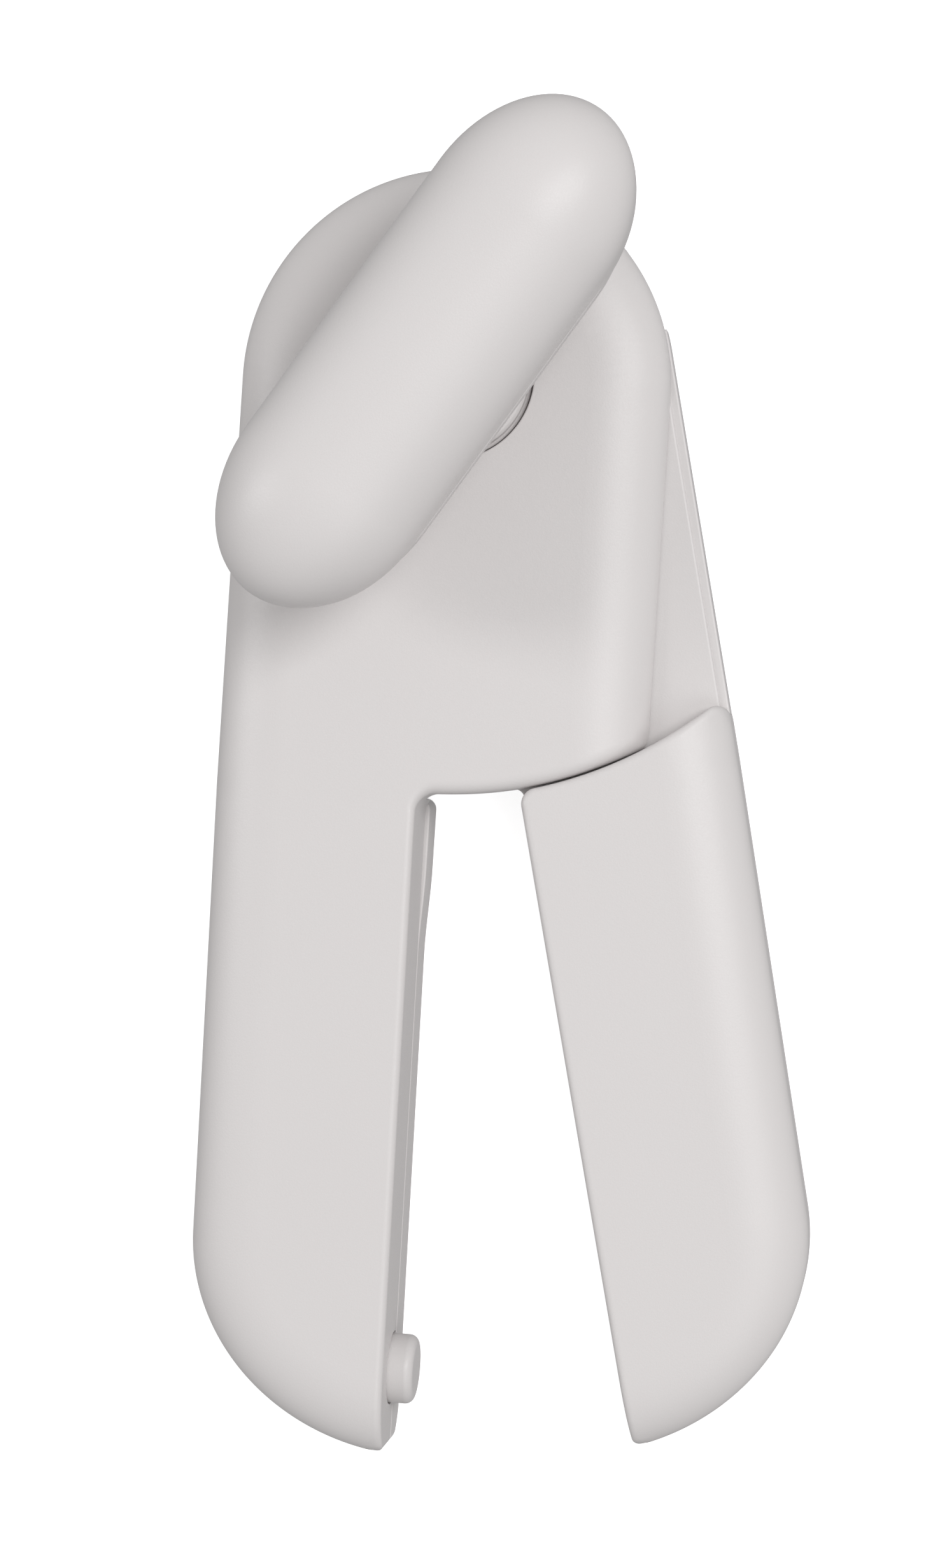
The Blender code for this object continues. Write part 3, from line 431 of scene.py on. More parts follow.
def soft_shape(name, side, cut, shoulder, face_z, foot, steps=14, edge_steps=6, inset=0.0, foot_edge=0.0):
    """A grip or the head: a soft shoulder round the outside and small rounded edges along the cut."""
    line, far = cut
    outline = offset(tool_outline(side), inset) if inset else tool_outline(side)
    width, depth = shoulder[0] - inset, shoulder[1] - inset
    # Each rounding has one more line a little beyond it, so that the flat part starts level
    lines = [offset(outline, width * share) for share in quarter(steps) + [1.04]]
    lines = [run + run[:1] for run in lines]
    if edge_steps:
        reach = [point[2] for point in line]
        plain = [point[:2] for point in line]
        for share in quarter(edge_steps) + [1.12]:
            lines.append(offset(plain, [share * value for value in reach], closed=False))

    def height(plan):
        level = face_z - drop(distance_to(plan, outline)[0], width, depth)
        if edge_steps:
            away, radius = distance_to(plan, line, closed=False)
            level -= drop(away, radius, radius)
        return level

    bound = [point[:2] for point in line] + far
    return relief(name, [outline, bound], [], lines, height, foot, foot_edge)


def flip(obj):
    """Turns a piece over, front to back."""
    obj.data.transform(Matrix.Diagonal((1.0, 1.0, -1.0, 1.0)))
    obj.data.flip_normals()
    return obj


def slab(name, loops, bottom, top, edge):
    """A flat piece, its outline first and then its holes, with rounded edges on both faces."""
    loops = [dense([tuple(point) for point in loop]) for loop in loops]
    outline, holes = loops[0], loops[1:]
    if area(outline) < 0.0:
        outline.reverse()
    for hole in holes:
        if area(hole) > 0.0:
            hole.reverse()
    lines = []
    for share in quarter(3) + [1.3]:
        for loop in [outline] + holes:
            run = offset(loop, edge * share)
            lines.append(run + run[:1])

    def height(plan):
        away = np.min([distance_to(plan, loop)[0] for loop in [outline] + holes], axis=0)
        return top - drop(away, edge, edge)

    return relief(name, [outline], holes, lines, height, bottom, edge)


def area(loop):
    return sum(a[0] * b[1] - b[0] * a[1] for a, b in zip(loop, loop[1:] + loop[:1])) / 2.0


def loft(name, rings):
    """A closed body from rings of equally many points, capped at both ends."""
    bm = bmesh.new()
    loops = [[bm.verts.new(point) for point in ring] for ring in rings]
    for lower, upper in zip(loops, loops[1:]):
        for index in range(len(lower)):
            after = (index + 1) % len(lower)
            bm.faces.new((lower[index], lower[after], upper[after], upper[index]))
    bm.faces.new(loops[0][::-1])
    bm.faces.new(loops[-1])
    return new_object(name, bm)


def turned(name, profile, fillet=0.0, closed=False, steps=96):
    """A turned piece about Z from a profile of (radius, z), its corners rounded by fillet."""
    if fillet:
        profile = rounded(profile, fillet, closed)
    bm = bmesh.new()
    verts = [bm.verts.new((radius, 0.0, z)) for radius, z in profile]
    sides = list(zip(verts, verts[1:])) + ([(verts[-1], verts[0])] if closed else [])
    edges = [bm.edges.new(side) for side in sides]
    bmesh.ops.spin(bm, geom=edges + verts, cent=(0, 0, 0), axis=(0, 0, 1), angle=math.tau, steps=steps)
    return new_object(name, bm)


def hexagon(radius):
    return rounded(circle((0.0, 0.0), radius, 6), 0.3, closed=True)


def rod(name, radius, bottom, top, steps=48):
    return turned(name, [(0.0, top), (radius, top), (radius, bottom), (0.0, bottom)], steps=steps)


def shift(obj, x, y, z=0.0):
    obj.data.transform(Matrix.Translation((x, y, z)))
    return obj


def lay_along_x(obj):
    obj.data.transform(Matrix.Rotation(math.radians(90.0), 4, "Y"))
    return obj


def combine(obj, operation, others):
    """Boolean with each of the others in turn, which are then removed."""
    for other in others:
        boolean = obj.modifiers.new(operation.lower(), "BOOLEAN")
        boolean.operation = operation
        boolean.solver = "EXACT"
        boolean.object = other
    bake(obj)
    for other in others:
        bpy.data.objects.remove(other, do_unlink=True)
    return obj


def bake(obj):
    """Makes the modifiers' result the object's own mesh."""
    bpy.context.view_layer.update()
    mesh = bpy.data.meshes.new_from_object(obj.evaluated_get(bpy.context.evaluated_depsgraph_get()))
    obj.modifiers.clear()
    obj.data = mesh


# ---------------------------------------------------------------- materials

class Nodes:
    """A few short calls for building a material."""

    def __init__(self, name):
        self.material = bpy.data.materials.new(name)
        self.material.use_nodes = True
        self.tree = self.material.node_tree
        self.shader = self.tree.nodes["Principled BSDF"]
        self.place = self.tree.nodes.new("ShaderNodeTexCoord").outputs["Object"]

    def add(self, kind, settings=(), **inputs):
        node = self.tree.nodes.new("ShaderNode" + kind)
        for key, value in dict(settings).items():
            setattr(node, key, value)
        for key, value in inputs.items():
            socket = node.inputs[key.replace("_", " ")]
            if isinstance(value, bpy.types.NodeSocket):
                self.tree.links.new(value, socket)
            else:
                socket.default_value = value
        return node

    def noise(self, scale, detail=3.0, roughness=0.5, stretch=None):
        place = self.place
        if stretch:
            place = self.add("Mapping", Vector=place, Scale=stretch).outputs["Vector"]
        node = self.add("TexNoise", Vector=place, Scale=scale, Detail=detail, Roughness=roughness)
        return node.outputs["Fac"]

    def ramp(self, noise, low, high):
        """Spreads a noise over a range."""
        ends = {"From_Min": NOISE_LOW, "From_Max": NOISE_HIGH, "To_Min": low, "To_Max": high}
        return self.add("MapRange", Value=noise, **ends).outputs["Result"]

    def tint(self, value, first, second):
        node = self.tree.nodes.new("ShaderNodeMix")
        node.data_type = "RGBA"
        self.tree.links.new(value, node.inputs["Factor"])
        node.inputs["A"].default_value = (*first, 1.0)
        node.inputs["B"].default_value = (*second, 1.0)
        return node.outputs["Result"]

    def connect(self, value, socket):
        self.tree.links.new(value, self.shader.inputs[socket])

    def set(self, **values):
        for key, value in values.items():
            self.shader.inputs[key.replace("_", " ")].default_value = value


def plastic(name, colour, roughness, grain=1.0):
    """Moulded plastic with a fine spark-eroded grain, faint flow clouds and a little dust in the grain."""
    nodes = Nodes(name)
    clouds = nodes.noise(38.0, 2.0)
    specks = nodes.noise(5200.0, 2.0, 0.6)
    grain_height = nodes.noise(3600.0, 3.0, 0.55)
    darker = [value * 0.975 for value in colour]
    mixed = nodes.add("Math", {"operation": "MULTIPLY_ADD"})
    nodes.tree.links.new(clouds, mixed.inputs[0])
    mixed.inputs[1].default_value = 0.55
    nodes.tree.links.new(nodes.ramp(specks, 0.0, 0.45), mixed.inputs[2])
    nodes.connect(nodes.tint(mixed.outputs[0], darker, colour), "Base Color")
    nodes.connect(nodes.ramp(grain_height, roughness - 0.05, roughness + 0.06), "Roughness")
    bump = nodes.add("Bump", Height=grain_height, Strength=0.35 * grain, Distance=0.00006)
    nodes.connect(bump.outputs["Normal"], "Normal")
    nodes.set(IOR=1.5, Specular_IOR_Level=0.3)
    return nodes.material


def metal(name, colour, roughness, brushed, bright=1.12):
    """Metal with drawn or ground lines and a mottled tone."""
    nodes = Nodes(name)
    lines = nodes.noise(420.0, 4.0, 0.7, stretch=brushed)
    mottle = nodes.noise(240.0, 3.0)
    lighter = [min(value * bright, 1.0) for value in colour]
    nodes.connect(nodes.tint(nodes.ramp(mottle, 0.0, 1.0), colour, lighter), "Base Color")
    nodes.connect(nodes.ramp(lines, roughness - 0.08, roughness + 0.1), "Roughness")
    bump = nodes.add("Bump", Height=lines, Strength=0.25, Distance=0.00005)
    nodes.connect(bump.outputs["Normal"], "Normal")
    nodes.set(Metallic=1.0)
    return nodes.material


MATERIALS = {
    "white_plastic": plastic("white_plastic", (0.66, 0.635, 0.63), 0.38),
    "nylon": plastic("nylon", (0.72, 0.70, 0.64), 0.5, 0.5),
    "steel": metal("steel", (0.60, 0.61, 0.62), 0.32, (1.0, 14.0, 1.0)),
    "hard_steel": metal("hard_steel", (0.50, 0.51, 0.53), 0.26, (1.0, 1.0, 16.0)),
    "zinc_plate": metal("zinc_plate", (0.64, 0.64, 0.61), 0.36, (3.0, 3.0, 3.0), 1.2),
}


def finish(obj, node):
    """Puts a piece in its place on its body, in place of the model's own node."""
    body = BODIES[node]
    place = Matrix.Translation(HINGE) @ Matrix.Rotation(math.radians(TURN[body]), 4, "Z")
    obj.data.transform(place @ Matrix.Scale(MM, 4))
    obj.name = node + "_piece"
    obj.data.materials.clear()
    obj.data.materials.append(MATERIALS[SLOTS[node]])
    obj.data.shade_smooth()
    obj.data.set_sharp_from_angle(angle=math.radians(SHARP_ANGLE))
    weighted = obj.modifiers.new("weighted", "WEIGHTED_NORMAL")
    weighted.keep_sharp = True
    weighted.weight = FACE_WEIGHT
    bake(obj)
    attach(obj, body)
    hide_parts(node)


# ---------------------------------------------------------------- casings

def screw_post(place, bottom):
    roof = FRONT_Z - WALL / 2.0
    pilot = SCREW_R + BORE_CLEARANCE
    profile = [(0.0, roof), (POST_R, roof), (POST_R, bottom), (pilot, bottom), (pilot, PILOT_TOP)]
    return shift(turned("post", profile + [(0.0, PILOT_TOP)], steps=40), *place)


def stud_bore(side):
    """The hole for the stud in the inner wall of the left grip, -1, or of the right one, +1."""
    if side < 0:
        radius, low_x, high_x = STUD_R + GAP, LEFT_WALL_X - WALL - 1.0, LEFT_WALL_X + 2.0
    else:
        radius, low_x, high_x = STUD_R + STUD_CLEARANCE, RIGHT_WALL_X - 1.0, RIGHT_WALL_X + WALL + 2.0
    return shift(lay_along_x(rod("bore", radius, low_x, high_x, 64)), 0.0, STUD_Y, STUD_Z)


def flat_prism(loop, bottom, top):
    return relief("prism", [loop], [], [], lambda plan: np.full(len(plan), top), bottom)


def build_main_cover():
    cover = soft_shape("cover", -1, cover_cut(), SHOULDER, FRONT_Z, SPLIT_Z, foot_edge=PARTING_EDGE)
    roof, foot = FRONT_Z - WALL, SPLIT_Z - 1.0
    cavity = soft_shape("cavity", -1, cover_cut(WALL), SHOULDER, roof, foot, 6, 0, WALL)
    inner_x, low_y = LEFT_WALL_X - CROTCH_R - 0.1, -HEAD_EDGE_R - 0.9
    swing = [(0.0, 0.0), (45.0, 37.0), (70.0, 0.0), (50.0, low_y), (inner_x, low_y), (inner_x, -50.0)]
    if area(swing) < 0.0:
        swing.reverse()
    clearance = flat_prism(swing, SPLIT_Z - 2.0, COVER_RIM_Z)
    lip = 0.25
    profile = [(0.0, FRONT_Z - WALL - 2.0), (HUB_HOLE_R, FRONT_Z - WALL - 2.0)]
    profile += arc((HUB_HOLE_R + lip, FRONT_Z - lip), lip, 180.0, 90.0, 6)
    profile += [(HUB_HOLE_R + lip, FRONT_Z + 2.0), (0.0, FRONT_Z + 2.0)]
    hub_hole = turned("hole", profile, steps=128)
    bore = stud_bore(-1)
    combine(cover, "DIFFERENCE", [cavity, clearance, hub_hole, bore])
    posts = [screw_post(place, SPLIT_Z + 0.2) for place in LEFT_GRIP_SCREWS.values()]
    posts += [screw_post(place, FRAME_TOP + GAP) for place in FRAME_SCREWS.values()]
    finish(combine(cover, "UNION", posts), "main_cover")


def back_shell(side, wall_x, top_r, corners, screws, bulge=0.0):
    """The back of a grip, drawn face up and then turned over."""
    top = SPLIT_Z - GAP
    shelf = 3.2
    cut = grip_cut(side, wall_x, top_r, *corners, bulge=bulge, edge=0.8)
    shell = soft_shape("shell", side, cut, BACK_SHOULDER, 0.0, -top, foot_edge=PARTING_EDGE)
    cut = grip_cut(side, wall_x, top_r, 0.8, 1.0, WALL, bulge)
    cavity = soft_shape("cavity", side, cut, BACK_SHOULDER, -WALL, -top - 1.0, 6, 0, WALL)
    combine(flip(shell), "DIFFERENCE", [flip(cavity)])
    posts = [shift(rod("post", POST_R + 0.8, WALL / 2.0, top, 40), *place) for place in screws.values()]
    combine(shell, "UNION", posts)
    hole_r, head_r, lip = SCREW_R + GAP, SCREW_HEAD_R + GAP, 0.5
    profile = [(0.0, top + 1.0), (hole_r, top + 1.0), (hole_r, shelf), (head_r, shelf)]
    profile += arc((head_r + lip, lip), lip, 180.0, 270.0, 4) + [(head_r + lip, -1.0), (0.0, -1.0)]
    holes = [shift(turned("hole", profile, steps=48), *place) for place in screws.values()]
    return combine(shell, "DIFFERENCE", holes)


def block(low, high):
    edge = 0.2
    loop = [(low[0], low[1]), (high[0], low[1]), (high[0], high[1]), (low[0], high[1])]
    return slab("block", [rounded(loop, edge, closed=True)], low[2], high[2], edge)


def build_backs():
    shell = back_shell(-1, LEFT_WALL_X, GRIP_TOP_R + 0.6, (1.6, 3.0), LEFT_GRIP_SCREWS, WALL_BULGE)
    seat = block((-14.9, STUD_Y - 3.0, WALL / 2.0), (-12.6, STUD_Y + 4.0, STUD_Z + 3.0))
    combine(shell, "UNION", [seat])
    bore = stud_bore(-1)
    finish(combine(shell, "DIFFERENCE", [bore]), "left_grip_back")
    shell = back_shell(1, RIGHT_WALL_X, GRIP_TOP_R + 0.2, (2.0, 1.6), RIGHT_GRIP_SCREWS)
    bore = stud_bore(1)
    finish(combine(shell, "DIFFERENCE", [bore]), "right_grip_back")


def cam_slot():
    """A slot whose distance from the hinge grows evenly with the handle's swing."""
    margin, steps = 1.0, 40
    outer, inner = [], []
    for index in range(steps + 1):
        swing = -margin + (HANDLE_SWING + 2.0 * margin) * index / steps
        angle = math.radians(-90.0 - swing)
        lift = FOLLOWER_CLOSED_R + LIFT_PER_DEGREE * swing
        for side, radius in ((outer, lift + CAM_HALF_WIDTH), (inner, lift - CAM_HALF_WIDTH)):
            side.append((radius * math.cos(angle), radius * math.sin(angle)))
    ends = []
    for swing, facing in ((HANDLE_SWING + margin, -1.0), (-margin, 1.0)):
        angle = -90.0 - swing
        lift = FOLLOWER_CLOSED_R + LIFT_PER_DEGREE * swing
        centre = (lift * math.cos(math.radians(angle)), lift * math.sin(math.radians(angle)))
        start = angle if facing < 0.0 else angle + 180.0
        ends.append(arc(centre, CAM_HALF_WIDTH, start, start - 180.0, 12)[1:-1])
    return outer + ends[0] + inner[::-1] + ends[1]


def handle_plate_outline():
    flare_r = 1.6
    edge_r = HEAD_EDGE_R - 0.2
    grip_r = GRIP_TOP_R + 1.4
    flare = below(edge_r + flare_r, RIGHT_WALL_X - flare_r)
    ridge_x = HEAD_R - STRIP_WIDTH
    run = [below(grip_r, RIGHT_WALL_X), below(grip_r, 16.0), below(grip_r, ridge_x), (ridge_x, 1.0)]
    run += arc((0.0, 0.0), DISC_R, 5.0, 255.0, 120)
    run += rounded([(RIGHT_WALL_X - 2.6, -31.0), (RIGHT_WALL_X, -36.0), (RIGHT_WALL_X, -53.0)], 3.0)[1:]
    hook_x = RIGHT_WALL_X - 3.3
    run += rounded([(RIGHT_WALL_X, -53.0), (hook_x, -56.0), below(edge_r, hook_x)], 1.0)[1:]
    run += arc(flare, flare_r, polar((-flare[0], -flare[1])), 0.0, 12)
    return run


def build_right_handle_front():
    cut = grip_cut(1, RIGHT_WALL_X, GRIP_TOP_R, 2.3, 1.8)
    handle = soft_shape("handle", 1, cut, SHOULDER, FRONT_Z, SPLIT_Z, foot_edge=PARTING_EDGE)
    cut = grip_cut(1, RIGHT_WALL_X, GRIP_TOP_R, 0.8, 1.0, WALL)
    cavity = soft_shape("cavity", 1, cut, SHOULDER, FRONT_Z - WALL, SPLIT_Z - 1.0, 6, 0, WALL)
    combine(handle, "DIFFERENCE", [cavity])
    loops = [handle_plate_outline(), circle((0.0, 0.0), PIVOT_R + GAP), cam_slot()]
    plate = slab("plate", loops, PLATE_BOTTOM, PLATE_TOP, 0.3)
    inner_x = HEAD_R - STRIP_WIDTH - 0.5
    strip = [(inner_x, -54.0), (HEAD_R, -54.0)]
    strip += arc((0.0, -HEAD_DROP), HEAD_R, 0.0, 5.0, 8) + [(inner_x, 1.5)]
    rim = slab("rim", [strip], SPLIT_Z, PLATE_TOP - STRIP_DROP, 0.25)
    posts = [screw_post(place, SPLIT_Z + 0.2) for place in RIGHT_GRIP_SCREWS.values()]
    combine(handle, "UNION", [plate, rim] + posts)
    bore = stud_bore(1)
    finish(combine(handle, "DIFFERENCE", [bore]), "right_handle_front")


# ---------------------------------------------------------------- frame and pivot

def build_frame_plate():
    edge = HEAD_R - WALL - GAP - 0.1
    lower_r = 57.2
    outline = arc((0.0, -HEAD_DROP), edge, 0.0, 180.0, 90)
    outline += arc((0.0, 0.0), lower_r, polar(below(lower_r, -edge)), polar(below(lower_r, edge)), 40)
    slot_far = FOLLOWER_CLOSED_R + CUTTER_TRAVEL
    slot = arc((0.0, -FOLLOWER_CLOSED_R + 0.2), CAM_HALF_WIDTH, 0.0, 180.0, 16)
    slot += arc((0.0, -slot_far - 0.2), CAM_HALF_WIDTH, 180.0, 360.0, 16)
    holes = [circle(place, SCREW_R + GAP, 32) for place in FRAME_SCREWS.values()]
    loops = [outline, circle((0.0, 0.0), 6.2), slot, circle((0.0, GUIDE_Y), 1.7, 32)] + holes
    finish(slab("plate", loops, FRAME_BOTTOM, FRAME_TOP, 0.2), "frame_plate")


def build_pivot():
    bore = BUSH_R + BORE_CLEARANCE
    neck_r, spigot_r = 10.4, 5.9
    profile = [(neck_r, 14.0), (neck_r, 12.7), (PIVOT_R, 12.7), (PIVOT_R, FRAME_TOP + GAP)]
    profile += [(spigot_r, FRAME_TOP + GAP), (spigot_r, FRAME_BOTTOM), (bore, FRAME_BOTTOM), (bore, 14.0)]
    finish(turned("boss", profile, 0.15, closed=True), "pivot_boss")
    ring = arc((0.0, 0.0), 14.4, 25.0, 335.0, 90) + arc((0.0, 0.0), neck_r + GAP, 335.0, 25.0, 90)
    finish(slab("ring", [ring], 12.9, 13.7, 0.12), "retaining_ring")
    profile = [(6.2, 14.9), (6.2, 14.3), (BUSH_R, 14.3), (BUSH_R, FRAME_BOTTOM + 0.1)]
    profile += [(SHAFT_R + 0.1, FRAME_BOTTOM + 0.1), (SHAFT_R + 0.1, 14.9)]
    finish(turned("bush", profile, 0.12, closed=True), "shaft_bush")


def build_rim_guide():
    bottom = CARRIAGE_TOP - 1.5
    section = [(9.4, 2.4), (10.9, 2.4), (10.9, bottom), (17.5, bottom)]
    section += [(17.5, CARRIAGE_TOP), (9.4, CARRIAGE_TOP)]
    guide = slab("guide", [rounded(section, 0.5, closed=True)], -4.5, 4.5, 0.3)
    guide.data.transform(Matrix(((0, 0, 1, 0), (1, 0, 0, 0), (0, 1, 0, 0), (0, 0, 0, 1))))
    hole = shift(rod("hole", 1.7, 4.0, 9.0), 0.0, GUIDE_Y)
    finish(combine(guide, "DIFFERENCE", [hole]), "rim_guide")
    profile = [(0.0, FRAME_TOP), (1.5, FRAME_TOP), (1.5, bottom - GAP), (2.7, bottom - GAP)]
    profile += [(2.2, bottom - 1.3), (0.0, bottom - 1.3)]
    finish(shift(turned("rivet", profile, 0.2, steps=64), 0.0, GUIDE_Y), "guide_rivet")


def build_rails():
    lip_bottom = CARRIAGE_BOTTOM - 1.4
    for side, name in ((-1.0, "left"), (1.0, "right")):
        section = [(5.9, lip_bottom), (9.6, lip_bottom), (9.6, CARRIAGE_TOP), (7.3, CARRIAGE_TOP)]
        section += [(7.3, CARRIAGE_BOTTOM - GAP), (5.9, CARRIAGE_BOTTOM - GAP)]
        section = [(side * x, z) for x, z in section]
        rail = slab("rail", [rounded(section, 0.25, closed=True)], 10.0, 28.0, 0.2)
        rail.data.transform(Matrix(((1, 0, 0, 0), (0, 0, -1, 0), (0, 1, 0, 0), (0, 0, 0, 1))))
        finish(rail, "guide_rail_" + name)


def cross_recess(place, level):
    """A cross-shaped cutter for a screw's head, whose face is at this level and looks down."""
    arms = []
    for angle in (45.0, 135.0):
        rings = []
        for z, half, wide in ((level - 0.5, 1.65, 0.42), (level + 1.0, 0.9, 0.26)):
            corners = [(-half, -wide, z), (half, -wide, z), (half, wide, z), (-half, wide, z)]
            rings.append(corners)
        arm = loft("arm", rings)
        arm.data.transform(Matrix.Rotation(math.radians(angle), 4, "Z"))
        arms.append(arm)
    return shift(combine(arms[0], "UNION", arms[1:]), *place)


def build_screws():
    grips = (("left", LEFT_GRIP_SCREWS), ("right", RIGHT_GRIP_SCREWS))
    for handle, screws in grips:
        for level, place in screws.items():
            profile = [(0.0, 14.5), (SCREW_R, 13.4), (SCREW_R, 2.9), (SCREW_HEAD_R, 2.9)]
            profile += [(SCREW_HEAD_R, 1.7), (1.6, 1.1), (0.0, 1.1)]
            screw = shift(turned("screw", profile, 0.3, steps=48), *place)
            finish(combine(screw, "DIFFERENCE", [cross_recess(place, 1.1)]), f"grip_screw_{handle}_{level}")
    seat = FRAME_BOTTOM - GAP
    for level, place in FRAME_SCREWS.items():
        profile = [(0.0, 15.0), (SCREW_R, 14.2), (SCREW_R, seat), (SCREW_HEAD_R, seat)]
        profile += [(SCREW_HEAD_R, seat - 1.2), (1.6, seat - 1.8), (0.0, seat - 1.8)]
        screw = shift(turned("screw", profile, 0.3, steps=48), *place)
        finish(combine(screw, "DIFFERENCE", [cross_recess(place, seat - 1.8)]), "frame_screw_" + level)


# ---------------------------------------------------------------- knob and drive

def knob_rings(length, width, levels, steps=48):
    """Rings of the knob, each level being (how far it is drawn in, z), which close on a line."""
    half = width / 2.0
    end_length = half * KNOB_END
    straight = length / 2.0 - end_length
    rings = []
    for inward, z in levels:
        share = 1.0 - inward / half
        ring = []
        for side in (1.0, -1.0):
            for step in range(steps + 1):
                angle = math.radians(-90.0 + 180.0 * step / steps)
                x = straight + end_length * share * math.cos(angle)
                ring.append((side * x, side * half * share * math.sin(angle), z))
        rings.append(dense(ring, 4.0))
    return rings


def dome_levels(half, top, steps):
    levels = []
    last = math.radians(89.5)
    for step in range(steps + 1):
        angle = last * step / steps
        rise = (top - KNOB_WIDEST_Z) * math.sin(angle) / math.sin(last)
        levels.append((half * (1.0 - math.cos(angle)), KNOB_WIDEST_Z + rise))
    return levels


def build_knob():
    half = KNOB_WIDTH / 2.0
    outside = rounded([(1.6, KNOB_RIM_Z), (0.3, KNOB_RIM_Z), (0.1, KNOB_RIM_Z + 2.6)], 0.35)[:-1]
    for step in range(7):
        share = step / 7.0
        outside.append((0.1 * (1.0 - share) ** 2, KNOB_RIM_Z + 2.6 + 3.1 * share))
    outside += dome_levels(half, KNOB_TOP, 40)
    shell = loft("shell", knob_rings(KNOB_LENGTH, KNOB_WIDTH, outside))
    inside_levels = [(0.3, KNOB_RIM_Z - 1.0)] + dome_levels(half - WALL, KNOB_TOP - WALL, 10)
    rings = knob_rings(KNOB_LENGTH - 2.0 * WALL, KNOB_WIDTH - 2.0 * WALL, inside_levels, 24)
    finish(combine(shell, "DIFFERENCE", [loft("cavity", rings)]), "knob_shell")

    top = KNOB_RIM_Z - GAP
    length, width = KNOB_LENGTH - 5.0, KNOB_WIDTH - 0.6
    levels = [(1.0, top), (0.0, top), (0.1, top - 2.2), (0.7, top - 4.4), (3.6, KNOB_BASE_Z + 0.4)]
    levels = rounded(levels + [(5.0, KNOB_BASE_Z), (6.0, KNOB_BASE_Z)], 0.8)
    base = loft("base", knob_rings(length, width, levels[::-1]))
    hollow_levels = [(3.4, KNOB_BASE_Z + 2.0), (2.0, top + 1.0)]
    combine(base, "DIFFERENCE", [loft("hollow", knob_rings(length, width, hollow_levels, 24))])
    combine(base, "UNION", [rod("boss", 7.0, KNOB_BASE_Z + 1.0, top + 0.3, 64)])
    combine(base, "DIFFERENCE", [rod("bore", SHAFT_R + BORE_CLEARANCE, KNOB_BASE_Z - 1.0, top + 2.0, 48)])
    finish(base, "knob_base")

    bore = SHAFT_R + BORE_CLEARANCE
    profile = [(8.2, KNOB_BASE_Z - GAP), (8.4, 19.6), (9.4, 19.2), (10.9, 18.9), (HUB_R, 18.4)]
    profile += [(HUB_R, 17.6), (HUB_R + 0.5, 17.6), (HUB_R + 0.5, 15.3), (bore, 15.3)]
    profile.append((bore, KNOB_BASE_Z - GAP))
    finish(turned("collar", profile, 0.5, closed=True, steps=128), "hub_collar")

    shoulder = top + 0.3
    tip = KNOB_WIDEST_Z - 0.4
    profile = [(0.0, tip), (2.0, tip), (2.4, tip - 0.4), (2.4, shoulder), (SHAFT_R, shoulder)]
    profile += [(SHAFT_R, 2.1), (2.6, 1.7), (0.0, 1.7)]
    finish(turned("shaft", profile, 0.15, steps=64), "drive_shaft")
    loops = [hexagon(4.6), circle((0.0, 0.0), 2.6, 48)]
    finish(slab("nut", loops, shoulder + GAP, shoulder + 3.6, 0.25), "knob_nut")


def build_drive():
    ring = [circle((0.0, 0.0), 5.6, 64), circle((0.0, 0.0), SHAFT_R + BORE_CLEARANCE, 48)]
    finish(slab("washer", ring, CARRIAGE_TOP - 0.6, CARRIAGE_TOP, 0.12), "thrust_washer")
    teeth = 24
    outline = []
    for tooth in range(teeth):
        for part, radius in ((0.0, DRIVE_WHEEL_R - 0.8), (0.35, DRIVE_WHEEL_R), (0.65, DRIVE_WHEEL_R)):
            angle = 2.0 * math.pi * (tooth + part) / teeth
            outline.append((radius * math.cos(angle), radius * math.sin(angle)))
    bore = circle((0.0, 0.0), SHAFT_R + BORE_CLEARANCE, 48)
    finish(slab("wheel", [rounded(outline, 0.08, closed=True, steps=2), bore], 3.8, 6.2, 0.1), "drive_wheel")
    finish(slab("nut", [hexagon(4.2), bore], 2.0, 3.5, 0.2), "wheel_nut")


